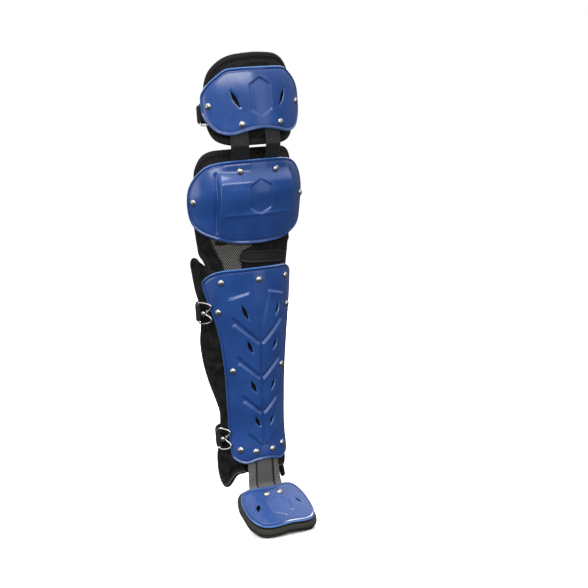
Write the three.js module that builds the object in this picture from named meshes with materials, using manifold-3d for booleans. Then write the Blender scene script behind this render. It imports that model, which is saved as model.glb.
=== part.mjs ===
// A catcher's leg guard in its worn form: moulded plates for thigh, knee, shin and toes, riveted to
// padded cloth backs, joined by webbing and closed behind the leg by straps on wire clips.
// Millimetres, +Z up, and the front of the leg faces -Y. The origin is on the leg's axis, level
// with the middle of the knee plate. "Arc" is a distance round the leg from the front ridge,
// and "lift" is a distance outwards from the outer face of the plates.

import * as THREE from 'three';
import { mergeVertices } from 'three/addons/utils/BufferGeometryUtils.js';
import Module from 'manifold-3d';

const wasm = await Module();
wasm.setup();

// Clearances and walls; layers whose facets differ stand a little further apart
const gap = 0.3;
const layerRoom = 0.9;
const plateWall = 3;
const connectorThick = 2.2;
const strapThick = 2;
const tongueThick = 4;
const kneePadThick = 15;
const thighPadThick = 14;
const shinPadThick = 12;
const skirtThick = 6;
const wingThick = 8;
const wingSink = 6;
const toePadThick = 11;
const wireWide = 2.4;

// Sections of the leg at the outer face of the plates: radius of the bend, and how far the ridge
// stands in front of the axis. The knee bends tighter at its sides than across its front.
const thighRadius = 90;
const thighFront = 124;
const kneeRadius = 110;
const kneeSideRadius = 82;
const kneeFlatArc = 55;
const kneeFront = 100;
const shinRadius = 76;
const shinFront = 76;
const ankleRadius = 56;
const ankleFront = 52;

// Plates: heights, half widths along the arc, and the spaces between them
const kneeHeight = 115;
const kneeAboveOrigin = 57;
const kneeHalfArc = 106;
const thighHeight = 89;
const thighHalfArc = 85;
const thighToKnee = 33;
const shinHeight = 279;
const shinHalfArc = 87;
const kneeToShin = 33;

// Raised forms on the plates
const domeRise = 5;
const domeHalfArc = 52;
const creaseWide = 7;
const shelfLevel = -17;
const domeFoot = 6;
const panelSink = 1.4;
const hexHalfWide = 15;
const hexPeak = 9;
const thighHexTall = 52;
const kneeHexTall = 48;
const toeHexTall = 34;
const scaleRise = 2.2;
const scaleBevel = 3;
const scaleOuterBevel = 5;
const channelHalfWide = 0.8;
const funnelHalfWide = 14;
const grooveWide = 9;
const firstGroove = 104;
const groovePitch = 50;
const grooveSlope = 0.95;
const scaleTop = 32;

// Vents, a slanted lozenge each
const ventWide = 6.5;
const ventLean = 21.5;
const shinVentLean = 18;
const shinVentShift = 3.6;
const thighVentLong = 26;
const toeVentLong = 14;
const toeVentLean = -40;

// Rivets
const rivetRadius = 4.8;
const rivetTall = 3;
const rivetSeat = 0.45;

// Pads past their plates
const thighPadAbove = 20;
const thighPadBelow = 14;
const thighPadSide = 1;
const kneePadAbove = 16;
const kneePadHalfArc = 103;
const skirtUnderShin = 13;
const wingPastShin = 30;
const wingAboveShin = 19;
const wingBelowShin = 37;
const padEdgeRound = 3;

// Webbing between thigh and knee
const connectorWide = 26;
const connectorArc = 25.7;
const connectorTuck = 22;
const connectorShift = 2;
const connectorSlant = 10;

// Instep strap
const tongueWide = 54;
const tongueTuck = 25;
const tongueLead = 9;
const tongueStraight = 8;
const roomSlope = 6;

// Toe cap
const toeHalfWide = 50;
const toeLong = 66;
const toeSlope = 30;
const toeCrown = 11;
const toeRivetForward = 69.5;
const toeRivetDrop = 40;
const toePadMargin = 5;
const toeTongueReach = 14;
const toeTongueThick = 3;

// Straps, clips and posts
const strapWide = 25;
const eyeTall = 22;
const clipTall = 29;
const thighClipLong = 20;
const calfClipLong = 23;
const ankleClipLong = 19;
const clipLobe = 6;
const clipPinchShare = 0.3;
const postRadius = 1.9;
const postHeadRadius = 3.6;
const postHeadTall = 1.8;
const postFootTall = 1;
const eyeStandOff = 3.8;
const eyeRoom = 0.75;
const calfClipInset = 12;
const ankleClipInset = 11;
const thighStrapBow = 34;
const calfStrapBow = 46;
const ankleStrapBow = 36;
const sewnLong = 18;
const sewnSteps = 5;
const cornerRoom = 2.8;
const cornerSink = 3.4;
const cornerLong = 9;
const cornerSteps = 4;
const thighStrapTurn = 55;
const legStrapTurn = 38;
const bandSteps = 18;

// Name tag place below the knee
const tagWide = 82;
const tagTall = 17;
const tagThick = 1.6;
const tagArc = 14;
const tagTilt = -4;

// Levels worked out from the sizes above
const thighPadHalfArc = thighHalfArc + thighPadSide;
const wingHalfArc = shinHalfArc + wingPastShin;
const kneeTop = kneeAboveOrigin;
const kneeLow = kneeTop - kneeHeight;
const thighLow = kneeTop + thighToKnee;
const thighTop = thighLow + thighHeight;
const shinTop = kneeLow - kneeToShin;
const shinLow = shinTop - shinHeight;
const kneePadTop = kneeTop + kneePadAbove;
const skirtLow = shinTop - skirtUnderShin;
const wingTop = shinTop + wingAboveShin;
const wingLow = shinLow - wingBelowShin;
const toeRivetZ = shinLow - toeRivetDrop;
const underPlate = -(plateWall + layerRoom);
const padUnderStraps = underPlate - connectorThick - layerRoom;
const thighPadLow = thighLow - thighPadBelow;

// Colours
const blue = { color: 0x2649a0, roughness: 0.3, metalness: 0 };
const cloth = { color: 0x17171a, roughness: 0.9, metalness: 0 };
const webbing = { color: 0x2e2e32, roughness: 0.85, metalness: 0 };
const steel = { color: 0xc4c4c2, roughness: 0.25, metalness: 1 };
const tagBlack = { color: 0x101012, roughness: 0.6, metalness: 0 };

const part = new THREE.Group();

function mix(a, b, t) {
  return a + (b - a) * t;
}

function clamp(t, low = 0, high = 1) {
  return Math.min(high, Math.max(low, t));
}

function ease(t) {
  const c = clamp(t);
  return c * c * (3 - 2 * c);
}

// A smooth curve through one column of a table, which never overshoots its rows
function through(rows, along, key, x) {
  const n = rows.length;
  if (x <= rows[0][along]) return rows[0][key];
  if (x >= rows[n - 1][along]) return rows[n - 1][key];
  let i = 0;
  while (x > rows[i + 1][along]) i += 1;
  const step = (k) => (rows[k + 1][key] - rows[k][key]) / (rows[k + 1][along] - rows[k][along]);
  const slope = (k) => {
    if (k === 0) return step(0);
    if (k === n - 1) return step(n - 2);
    const a = step(k - 1);
    const b = step(k);
    return a * b <= 0 ? 0 : (2 * a * b) / (a + b);
  };
  const h = rows[i + 1][along] - rows[i][along];
  const t = (x - rows[i][along]) / h;
  const a = rows[i][key];
  const b = rows[i + 1][key];
  const up = t * t * (3 - 2 * t);
  return a + (b - a) * up + h * t * (1 - t) * ((1 - t) * slope(i) - t * slope(i + 1));
}

// Sections from the ankle up to the top of the knee pad
const sections = [
  { z: wingLow, radius: ankleRadius * 1.02, side: ankleRadius * 1.02, front: ankleFront * 1.05 },
  { z: mix(shinLow, shinTop, 0.03), radius: ankleRadius, side: ankleRadius, front: ankleFront * 1.04 },
  { z: mix(shinLow, shinTop, 0.14), radius: ankleRadius, side: ankleRadius, front: ankleFront },
  { z: mix(shinLow, shinTop, 0.36), shin: 0.2, front: 0 },
  { z: mix(shinLow, shinTop, 0.64), shin: 0.62, front: 0 },
  { z: mix(shinLow, shinTop, 0.94), radius: shinRadius, side: shinRadius, front: shinFront },
  { z: shinTop, radius: shinRadius * 1.03, side: shinRadius * 1.02, front: shinFront * 1.01 },
  { z: kneeLow, radius: kneeRadius * 0.91, side: kneeSideRadius, front: kneeFront * 0.84 },
  { z: mix(kneeLow, kneeTop, 0.32), radius: kneeRadius, side: kneeSideRadius, front: kneeFront * 0.9 },
  { z: mix(kneeLow, kneeTop, 0.66), radius: kneeRadius, side: kneeSideRadius, front: kneeFront },
  { z: kneeTop, radius: kneeRadius, side: kneeSideRadius, front: kneeFront },
  { z: kneePadTop, radius: kneeRadius, side: kneeSideRadius, front: kneeFront * 0.98 },
].map((row) => (row.shin === undefined ? row : {
  z: row.z,
  radius: mix(ankleRadius, shinRadius, row.shin),
  side: mix(ankleRadius, shinRadius, row.shin),
  front: mix(ankleFront, shinFront, row.shin),
}));

function legSection(z) {
  return {
    radius: through(sections, 'z', 'radius', z),
    side: through(sections, 'z', 'side', z),
    front: through(sections, 'z', 'front', z),
  };
}

function thighSection() {
  return { radius: thighRadius, side: thighRadius, front: thighFront };
}

// Between the thigh pad and the knee plate the webbing steps back from one section to the other
function bridgeSection(z) {
  const t = clamp((thighPadLow - z) / (thighPadLow - kneeTop));
  const knee = legSection(Math.min(z, kneeTop));
  return {
    radius: mix(thighRadius, knee.radius, t),
    side: mix(thighRadius, knee.side, t),
    front: mix(thighFront, knee.front, t),
  };
}

// A point at an arc and height on a section, lifted outwards
function place(section, arc, z, lift) {
  const { radius, side, front } = section(z);
  const way = Math.sign(arc);
  const bend = Math.min(Math.abs(arc), kneeFlatArc) / radius;
  const rest = Math.max(0, Math.abs(arc) - kneeFlatArc) / side;
  const turn = bend + rest;
  const x = radius * Math.sin(bend) + side * (Math.sin(turn) - Math.sin(bend)) + lift * Math.sin(turn);
  const out = radius * Math.cos(bend) + side * (Math.cos(turn) - Math.cos(bend)) + lift * Math.cos(turn);
  return new THREE.Vector3(way * x, radius - front - out, z);
}

// The toe cap slopes down forwards and bends down to both sides
function placeOnToe(x, forward, lift) {
  const base = (a, f) => new THREE.Vector3(
    a,
    -toeRivetForward - f,
    toeRivetZ - Math.tan(THREE.MathUtils.degToRad(toeSlope)) * f
      - toeCrown * (a / toeHalfWide) ** 2 - toeCrown * 0.5 * ease((f - toeLong * 0.45) / toeLong) ** 2,
  );
  const across = base(x + 1, forward).sub(base(x - 1, forward));
  const along = base(x, forward + 1).sub(base(x, forward - 1));
  const normal = across.cross(along).normalize().multiplyScalar(-1);
  return base(x, forward).addScaledVector(normal, lift);
}

const onLeg = (arc, z, lift) => place(legSection, arc, z, lift);
const onThigh = (arc, z, lift) => place(thighSection, arc, z, lift);

// The frame of a surface at a point: along the arc, up the surface, and straight out of it
function frameAt(surface, arc, z, lift) {
  const at = surface(arc, z, lift);
  const along = surface(arc + 1, z, lift).sub(surface(arc - 1, z, lift)).normalize();
  const up = surface(arc, z + 1, lift).sub(surface(arc, z - 1, lift)).normalize();
  const out = new THREE.Vector3().crossVectors(along, up).normalize();
  if (out.dot(surface(arc, z, lift + 1).sub(at)) < 0) out.negate();
  const side = new THREE.Vector3().crossVectors(up, out).normalize();
  return new THREE.Matrix4().makeBasis(side, up, out).setPosition(at);
}

function geometryFrom(points, faces) {
  const geometry = new THREE.BufferGeometry();
  geometry.setAttribute('position', new THREE.Float32BufferAttribute(points.flatMap((p) => p.toArray()), 3));
  let volume = 0;
  for (const [a, b, c] of faces) {
    volume += points[a].dot(new THREE.Vector3().crossVectors(points[b], points[c]));
  }
  geometry.setIndex(faces.flatMap(([a, b, c]) => (volume < 0 ? [a, c, b] : [a, b, c])));
  return geometry;
}

// A closed shell between two faces that share one grid of columns and rows
function shell(columns, rows, outer, inner) {
  const points = [];
  for (const face of [outer, inner]) {
    for (let j = 0; j < rows; j += 1) {
      for (let i = 0; i < columns; i += 1) points.push(face(i, j));
    }
  }
  const at = (side, i, j) => side * columns * rows + j * columns + i;
  const faces = [];
  const quad = (a, b, c, d) => faces.push([a, b, c], [a, c, d]);
  for (let j = 0; j < rows - 1; j += 1) {
    for (let i = 0; i < columns - 1; i += 1) {
      quad(at(0, i, j), at(0, i + 1, j), at(0, i + 1, j + 1), at(0, i, j + 1));
      quad(at(1, i, j), at(1, i, j + 1), at(1, i + 1, j + 1), at(1, i + 1, j));
    }
  }
  for (let i = 0; i < columns - 1; i += 1) {
    quad(at(0, i, 0), at(1, i, 0), at(1, i + 1, 0), at(0, i + 1, 0));
    quad(at(0, i, rows - 1), at(0, i + 1, rows - 1), at(1, i + 1, rows - 1), at(1, i, rows - 1));
  }
  for (let j = 0; j < rows - 1; j += 1) {
    quad(at(0, 0, j), at(0, 0, j + 1), at(1, 0, j + 1), at(1, 0, j));
    quad(at(0, columns - 1, j), at(1, columns - 1, j), at(1, columns - 1, j + 1), at(0, columns - 1, j + 1));
  }
  return geometryFrom(points, faces);
}

function toSolid(geometry) {
  const bare = geometry.index ? geometry.clone() : geometry;
  for (const name of Object.keys(bare.attributes)) {
    if (name !== 'position') bare.deleteAttribute(name);
  }
  const merged = mergeVertices(bare, 1e-4);
  return new wasm.Manifold(new wasm.Mesh({
    numProp: 3,
    vertProperties: new Float32Array(merged.attributes.position.array),
    triVerts: new Uint32Array(merged.index.array),
  }));
}

function fromSolid(solid) {
  const mesh = solid.getMesh();
  const geometry = new THREE.BufferGeometry();
  geometry.setAttribute('position', new THREE.Float32BufferAttribute(mesh.vertProperties, 3));
  geometry.setIndex(Array.from(mesh.triVerts));
  return geometry;
}

function cut(geometry, tools) {
  return fromSolid(tools.reduce((solid, tool) => solid.subtract(toSolid(tool)), toSolid(geometry)));
}

function join(geometry, extras) {
  return fromSolid(extras.reduce((solid, extra) => solid.add(toSolid(extra)), toSolid(geometry)));
}

function addPiece(name, geometry, look) {
  const mesh = new THREE.Mesh(geometry, new THREE.MeshStandardMaterial(look));
  mesh.name = name;
  part.add(mesh);
  return mesh;
}

// Shares from -1 to 1 made from shares of one half
function bothSides(half) {
  return [...half.slice(1).reverse().map((u) => -u), ...half];
}

// A plate or pad whose top and low edges are read from an outline table
function outlinePiece({ surface, outline, halfArc, top, low, columns, rows, outer, inner }) {
  const us = bothSides(columns);
  const spot = (i, j) => {
    const u = us[i];
    const high = mix(low, top, through(outline, 'arc', 'top', Math.abs(u)));
    const deep = mix(low, top, through(outline, 'arc', 'low', Math.abs(u)));
    const z = mix(deep, high, rows[j]);
    return { arc: u * halfArc(z), z, u, v: rows[j], edge: i === 0 || i === us.length - 1
      || j === 0 || j === rows.length - 1 };
  };
  const face = (lift) => (i, j) => {
    const s = spot(i, j);
    return surface(s.arc, s.z, lift(s));
  };
  return shell(us.length, rows.length, face(outer), face(inner));
}

// A slanted lozenge that passes through a plate, cut at a point of its surface
function ventTool(surface, arc, z, long, lean) {
  const half = long / 2;
  const wide = ventWide / 2;
  const way = arc > 0 ? -1 : 1;
  const turn = THREE.MathUtils.degToRad(lean);
  const corners = [[-0.3, 1], [-1, -0.1], [0.2, -1], [1, 0.2]].map(([a, b]) => {
    const spot = new THREE.Vector2(a * wide, b * half).rotateAround(new THREE.Vector2(), turn);
    return new THREE.Vector2(way * spot.x, spot.y);
  });
  const shape = new THREE.Shape(corners);
  const tool = new THREE.ExtrudeGeometry(shape, { depth: 6 * plateWall, bevelEnabled: false });
  tool.translate(0, 0, -3 * plateWall);
  return tool.applyMatrix4(frameAt(surface, arc, z, 0));
}

// The tool for a sunk six-sided panel with pointed ends, part of the moulding
function panelTool(surface, middle, tall, baseLift) {
  const us = [-1, -0.5, 0, 0.5, 1];
  const vs = [0, 0.35, 0.65, 1];
  const face = (share, lift) => (i, j) => {
    const reach = tall / 2 - hexPeak * Math.abs(us[i]);
    const z = middle + mix(-reach, reach, vs[j]) * share;
    return surface(us[i] * hexHalfWide * share, z, lift);
  };
  return shell(us.length, vs.length, face(1.1, baseLift + panelSink), face(0.9, baseLift - panelSink));
}

// Domed rivets stand on the plate that they hold
const ray = new THREE.Raycaster();
const seatReach = 4 * rivetRadius;

function heightOver(mesh, frame, x, y) {
  const from = new THREE.Vector3(x, y, seatReach).applyMatrix4(frame);
  const way = new THREE.Vector3(0, 0, -1).transformDirection(frame);
  ray.set(from, way);
  const hits = ray.intersectObject(mesh, false);
  return hits.length ? seatReach - hits[0].distance : -seatReach;
}

function seatHeight(mesh, frame, radius) {
  const spots = [[0, 0]];
  for (let k = 0; k < 8; k += 1) {
    const a = (k / 8) * 2 * Math.PI;
    spots.push([radius * Math.cos(a), radius * Math.sin(a)]);
  }
  return Math.max(...spots.map(([x, y]) => heightOver(mesh, frame, x, y)));
}

function rivet(name, mesh, surface, arc, z) {
  const frame = frameAt(surface, arc, z, 0);
  const profile = [[0, 0], [1, 0], [1, 0.25], [0.78, 0.72], [0.42, 0.96], [0, 1]];
  const points = profile.map(([r, h]) => new THREE.Vector2(r * rivetRadius, h * rivetTall));
  const head = new THREE.LatheGeometry(points, 10);
  head.rotateX(Math.PI / 2);
  head.translate(0, 0, seatHeight(mesh, frame, rivetRadius) + rivetSeat);
  addPiece(name, closed(head.applyMatrix4(frame)), steel);
}

// A lathe body whose doubled seam and axis points are merged into one closed body
function closed(geometry) {
  return fromSolid(toSolid(outward(geometry)));
}

function outward(geometry) {
  const bare = geometry.clone();
  for (const name of Object.keys(bare.attributes)) {
    if (name !== 'position') bare.deleteAttribute(name);
  }
  const merged = mergeVertices(bare, 1e-4);
  const p = merged.attributes.position;
  const points = [];
  for (let i = 0; i < p.count; i += 1) points.push(new THREE.Vector3().fromBufferAttribute(p, i));
  const faces = [];
  const index = merged.index.array;
  for (let i = 0; i < index.length; i += 3) {
    const face = [index[i], index[i + 1], index[i + 2]];
    if (face[0] !== face[1] && face[1] !== face[2] && face[2] !== face[0]) faces.push(face);
  }
  return geometryFrom(points, faces);
}

// Thigh plate
const thighOutline = [
  { arc: 0, top: 1, low: 0.09 },
  { arc: 0.25, top: 1, low: 0.055 },
  { arc: 0.52, top: 0.995, low: 0.005 },
  { arc: 0.7, top: 0.9, low: 0.04 },
  { arc: 0.87, top: 0.78, low: 0.16 },
  { arc: 1, top: 0.64, low: 0.34 },
];
const plateColumns = [0, 0.17, 0.34, 0.52, 0.68, 0.82, 0.93, 1];
const thighVentArc = thighHalfArc * 0.42;
const thighVentZ = mix(thighLow, thighTop, 0.54);

const thighPlate = addPiece('thigh_plate', cut(outlinePiece({
  surface: onThigh,
  outline: thighOutline,
  halfArc: () => thighHalfArc,
  top: thighTop,
  low: thighLow,
  columns: plateColumns,
  rows: [0, 0.12, 0.35, 0.6, 0.85, 1],
  outer: () => 0,
  inner: () => -plateWall,
}), [
  ...[-1, 1].map((way) => ventTool(onThigh, way * thighVentArc, thighVentZ, thighVentLong, ventLean)),
  panelTool(onThigh, mix(thighLow, thighTop, 0.55), thighHexTall, 0),
]), blue);

// Knee plate, with a dome between two creases
const kneeOutline = [
  { arc: 0, top: 1, low: 0 },
  { arc: 0.3, top: 1, low: 0.02 },
  { arc: 0.5, top: 0.99, low: 0.065 },
  { arc: 0.67, top: 0.965, low: 0.12 },
  { arc: 0.83, top: 0.87, low: 0.2 },
  { arc: 0.93, top: 0.77, low: 0.31 },
  { arc: 1, top: 0.65, low: 0.51 },
];

const domeShare = domeHalfArc / kneeHalfArc;

function kneeLift({ arc, z }) {
  const across = 1 - ease((Math.abs(arc) - domeHalfArc) / creaseWide);
  const above = 1 - ease((z - mix(kneeLow, kneeTop, 0.78)) / (kneeHeight * 0.1));
  const below = clamp((z - kneeLow - domeFoot) / (shelfLevel - kneeLow - domeFoot));
  return domeRise * across * above * below;
}

const shelfShare = (shelfLevel - kneeLow) / kneeHeight;
const kneePlate = addPiece('knee_plate', cut(outlinePiece({
  surface: onLeg,
  outline: kneeOutline,
  halfArc: () => kneeHalfArc,
  top: kneeTop,
  low: kneeLow,
  columns: [0, 0.17, 0.34, domeShare, domeShare + creaseWide / kneeHalfArc, 0.72, 0.87, 1],
  rows: [0, domeFoot / kneeHeight, shelfShare / 2, shelfShare, 0.55, 0.78, 0.88, 1],
  outer: kneeLift,
  inner: () => -plateWall,
}), [
  panelTool(onLeg, mix(kneeLow, kneeTop, 0.56), kneeHexTall, domeRise),
]), blue);

// Shin plate, with overlapping scales on both sides of a channel that opens into a funnel at the top
const shinOutline = [
  { arc: 0, top: 0, low: 0.982 },
  { arc: 0.25, top: 0.001, low: 0.985 },
  { arc: 0.55, top: 0.003, low: 1 },
  { arc: 0.67, top: 0.008, low: 0.995 },
  { arc: 0.85, top: 0.028, low: 0.982 },
  { arc: 1, top: 0.062, low: 0.96 },
];
const shinWidths = [
  { down: 0.06, half: 1 },
  { down: 0.17, half: 0.875 },
  { down: 0.27, half: 0.75 },
  { down: 0.4, half: 0.66 },
  { down: 0.56, half: 0.605 },
  { down: 0.77, half: 0.585 },
  { down: 0.97, half: 0.575 },
];

function downShin(z) {
  return (shinTop - z) / shinHeight;
}

function shinHalfAt(z) {
  return shinHalfArc * through(shinWidths, 'down', 'half', downShin(z));
}

// Half width of the scales' field, and of the funnel and channel between the scales
function scaleHalfAt(down) {
  return shinHalfArc * mix(0.47, 0.21, clamp((down - 0.12) / 0.74));
}

function funnelHalfAt(down) {
  return mix(funnelHalfWide, channelHalfWide, ease((down - 0.1) / 0.24));
}

const grooveHalf = grooveWide / 2;
const lastGroove = firstGroove + 3 * groovePitch;
const shinRows = [
  { kind: 'edgeTop' },
  { kind: 'level', depth: scaleTop - scaleBevel, sink: 0.25, scale: 0 },
  { kind: 'level', depth: scaleTop, sink: 0.25, scale: 1 },
  { kind: 'level', depth: scaleTop * 1.95, sink: 0.1, scale: 1 },
];
for (let k = 0; k < 4; k += 1) {
  const middle = firstGroove + k * groovePitch;
  shinRows.push({ kind: 'vee', depth: middle - grooveHalf, scale: 1 });
  shinRows.push({ kind: 'vee', depth: middle, scale: 0 });
  if (k < 3) shinRows.push({ kind: 'vee', depth: middle + grooveHalf, scale: 1 });
}
shinRows.push({ kind: 'level', depth: lastGroove + grooveHalf * 1.6, sink: 0, scale: 0 });
shinRows.push({ kind: 'edgeLow' });

const columnNames = ['middle', 'scaleFoot', 'scaleIn', 'scaleMid', 'scaleOut', 'scaleEnd', 'land', 'edge'];

function shinArcOf(name, down, half) {
  const inner = funnelHalfAt(down);
  const outer = scaleHalfAt(down);
  switch (name) {
    case 'middle': return 0;
    case 'scaleFoot': return inner;
    case 'scaleIn': return inner + scaleBevel;
    case 'scaleMid': return mix(inner + scaleBevel, outer, 0.5);
    case 'scaleOut': return outer;
    case 'scaleEnd': return outer + scaleOuterBevel;
    case 'land': return mix(outer + scaleOuterBevel, half, 0.5);
    default: return half;
  }
}

function shinSpot(name, row) {
  let z = shinTop - shinHeight * 0.5;
  let arc = 0;
  for (let pass = 0; pass < 6; pass += 1) {
    const down = clamp(downShin(z));
    const half = shinHalfAt(z);
    arc = shinArcOf(name, down, half);
    const share = clamp(arc / half);
    if (row.kind === 'edgeTop') z = shinTop - shinHeight * through(shinOutline, 'arc', 'top', share);
    if (row.kind === 'edgeLow') z = shinTop - shinHeight * through(shinOutline, 'arc', 'low', share);
    if (row.kind === 'level') z = shinTop - row.depth - row.sink * Math.min(arc, scaleHalfAt(down));
    if (row.kind === 'vee') {
      const reach = Math.min(arc, scaleHalfAt(down)) - channelHalfWide - scaleBevel;
      z = shinTop - row.depth + grooveSlope * Math.max(0, reach);
    }
  }
  return { arc, z };
}

function shinRelief(name, row) {
  if (row.kind === 'edgeTop' || row.kind === 'edgeLow') return 0;
  if (['scaleIn', 'scaleMid', 'scaleOut'].includes(name)) return scaleRise * row.scale;
  return 0;
}

function shinPlateGeometry() {
  const count = 2 * columnNames.length - 1;
  const middle = columnNames.length - 1;
  const spotAt = (i, j) => {
    const k = Math.abs(i - middle);
    const spot = shinSpot(columnNames[k], shinRows[j]);
    return { name: columnNames[k], arc: Math.sign(i - middle) * spot.arc, z: spot.z };
  };
  const outer = (i, j) => {
    const s = spotAt(i, j);
    return onLeg(s.arc, s.z, shinRelief(s.name, shinRows[j]));
  };
  const inner = (i, j) => {
    const s = spotAt(i, j);
    return onLeg(s.arc, s.z, -plateWall);
  };
  return shell(count, shinRows.length, outer, inner);
}

// One vent in each scale, shorter towards the ankle
const shinVents = [
  { down: 0.218, arc: 0.3, long: 1 },
  { down: 0.396, arc: 0.23, long: 0.87 },
  { down: 0.602, arc: 0.18, long: 0.83 },
  { down: 0.784, arc: 0.132, long: 0.7 },
];
const shinVentLong = 23;
const shinVentTools = shinVents.flatMap((row) => [-1, 1].map((way) => ventTool(
  onLeg,
  way * row.arc * shinHalfArc + shinVentShift,
  shinTop - row.down * shinHeight,
  row.long * shinVentLong,
  shinVentLean,
)));
const shinPlate = addPiece('shin_plate', cut(shinPlateGeometry(), shinVentTools), blue);

// Toe cap plate
const toeOutline = [
  { arc: 0, back: -0.18, front: 0.8 },
  { arc: 0.3, back: -0.21, front: 0.8 },
  { arc: 0.55, back: -0.27, front: 0.77 },
  { arc: 0.76, back: -0.28, front: 0.69 },
  { arc: 0.9, back: -0.2, front: 0.55 },
  { arc: 1, back: 0.0, front: 0.34 },
];
const toeColumns = bothSides([0, 0.28, 0.53, 0.62, 0.76, 0.9, 1]);
const toeRows = [0, 0.1, 0.3, 0.45, 0.65, 0.85, 1];

function toeSpot(i, j, halfWide, margin) {
  const u = toeColumns[i];
  const back = toeLong * through(toeOutline, 'arc', 'back', Math.abs(u)) - margin;
  const front = toeLong * through(toeOutline, 'arc', 'front', Math.abs(u)) + margin;
  return { x: u * halfWide, forward: mix(back, front, toeRows[j]) };
}

const toeFace = (lift) => (i, j) => {
  const s = toeSpot(i, j, toeHalfWide, 0);
  return placeOnToe(s.x, s.forward, lift);
};
const onToe = (arc, forward, lift) => placeOnToe(arc, -forward, lift);
const toeVentArc = toeHalfWide * 0.63;
const toePlate = addPiece('toe_plate', cut(
  shell(toeColumns.length, toeRows.length, toeFace(0), toeFace(-plateWall)),
  [
    ...[-1, 1].map((way) => ventTool(onToe, way * toeVentArc, -toeLong * 0.22, toeVentLong, toeVentLean)),
    panelTool(onToe, -toeLong * 0.33, toeHexTall, 0),
  ],
), blue);

// Pads: the edge ring is thinner, so that the pad's border is rounded
function padLifts(outer, thick) {
  return {
    outer: (s) => outer(s) - (s.edge ? padEdgeRound : 0),
    inner: (s) => outer(s) - thick(s) + (s.edge ? padEdgeRound : 0),
  };
}

const thighPadOutline = [
  { arc: 0, top: 1, low: 0 },
  { arc: 0.4, top: 0.985, low: 0 },
  { arc: 0.6, top: 0.95, low: 0.015 },
  { arc: 0.78, top: 0.88, low: 0.05 },
  { arc: 0.92, top: 0.79, low: 0.12 },
  { arc: 1, top: 0.66, low: 0.24 },
];
addPiece('thigh_pad', outlinePiece({
  surface: onThigh,
  outline: thighPadOutline,
  halfArc: () => thighPadHalfArc,
  top: thighTop + thighPadAbove,
  low: thighPadLow,
  columns: [0, 0.25, 0.5, 0.75, 0.94, 1],
  rows: [0, 0.05, 0.35, 0.65, 0.95, 1],
  ...padLifts(() => padUnderStraps, () => thighPadThick),
}), cloth);

// Knee pad, whose thin skirt covers the front between the knee plate and the shin plate
const kneePadWidths = [
  { z: skirtLow, half: 0.7 },
  { z: shinTop, half: 0.76 },
  { z: mix(shinTop, kneeLow, 0.38), half: 0.82 },
  { z: mix(shinTop, kneeLow, 0.64), half: 0.925 },
  { z: kneeLow, half: 0.95 },
  { z: mix(kneeLow, kneeTop, 0.4), half: 1 },
  { z: kneePadTop, half: 0.97 },
];
const kneePadOutline = [
  { arc: 0, top: 1, low: 0 },
  { arc: 0.62, top: 0.995, low: 0 },
  { arc: 0.78, top: 0.975, low: 0.002 },
  { arc: 0.9, top: 0.93, low: 0.008 },
  { arc: 1, top: 0.84, low: 0.03 },
];

function skirtShare(z) {
  return ease((z - shinTop) / (kneeLow - shinTop));
}

addPiece('knee_pad', outlinePiece({
  surface: onLeg,
  outline: kneePadOutline,
  halfArc: (z) => kneePadHalfArc * through(kneePadWidths, 'z', 'half', z),
  top: kneePadTop,
  low: skirtLow,
  columns: [0, 0.22, 0.44, 0.63, 0.8, 0.95, 1],
  rows: [0, 0.03, 0.14, 0.27, 0.42, 0.6, 0.78, 0.96, 1],
  ...padLifts(
    (s) => mix(underPlate - gap, padUnderStraps, skirtShare(s.z)),
    (s) => mix(skirtThick, kneePadThick, skirtShare(s.z)),
  ),
}), cloth);

// Shin pad with a wing at each side that reaches round the calf
const wingWidths = [
  { up: 0.027, half: 0.737 },
  { up: 0.086, half: 0.807 },
  { up: 0.143, half: 0.795 },
  { up: 0.187, half: 0.695 },
  { up: 0.285, half: 0.625 },
  { up: 0.32, half: 0.614 },
  { up: 0.4, half: 0.714 },
  { up: 0.46, half: 0.832 },
  { up: 0.553, half: 0.965 },
  { up: 0.61, half: 0.98 },
  { up: 0.657, half: 0.945 },
  { up: 0.707, half: 0.885 },
  { up: 0.813, half: 0.905 },
  { up: 0.856, half: 0.967 },
  { up: 0.951, half: 1 },
];
const wingOutline = [
  { arc: 0, top: 0.93, low: 0.068 },
  { arc: 0.46, top: 0.93, low: 0.066 },
  { arc: 0.6, top: 0.93, low: 0.04 },
  { arc: 0.72, top: 0.94, low: 0.012 },
  { arc: 0.77, top: 0.955, low: 0.004 },
  { arc: 0.84, top: 0.995, low: 0 },
  { arc: 0.9, top: 1, low: 0.004 },
  { arc: 1, top: 0.965, low: 0.03 },
];

function wingHalfAt(z) {
  return wingHalfArc * through(wingWidths, 'up', 'half', (z - wingLow) / (wingTop - wingLow));
}

// The pad lies against the plate, drops behind it at the wings and under the skirt, and leaves
// room for the instep strap at the bottom
function shinPadLift({ arc, z }) {
  const plateEdge = shinHalfAt(clamp(z, shinLow, shinTop));
  const wing = ease((Math.abs(arc) - plateEdge * 0.82) / (plateEdge * 0.2));
  const past = ease((Math.abs(arc) - kneePadHalfArc * 0.88) / roomSlope);
  const under = ease((z - (skirtLow - roomSlope)) / (roomSlope - 1)) * (1 - past);
  const tongue = 1 - ease((Math.abs(arc) - tongueWide / 2 - 4) / 4);
  const tongueSink = tongueThick + 2 * layerRoom;
  const tongueRoom = tongue * ease((shinLow + tongueTuck + tongueLead - z) / roomSlope) * tongueSink;
  const skirtRoom = under * (skirtThick + layerRoom);
  const front = underPlate - gap;
  return Math.min(mix(front, -wingSink, wing), front - tongueRoom, front - skirtRoom);
}

function shinPadThickAt({ arc, z }) {
  const plateEdge = shinHalfAt(clamp(z, shinLow, shinTop));
  const wing = ease((Math.abs(arc) - plateEdge * 0.82) / (plateEdge * 0.2));
  return mix(shinPadThick, wingThick, wing);
}

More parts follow.
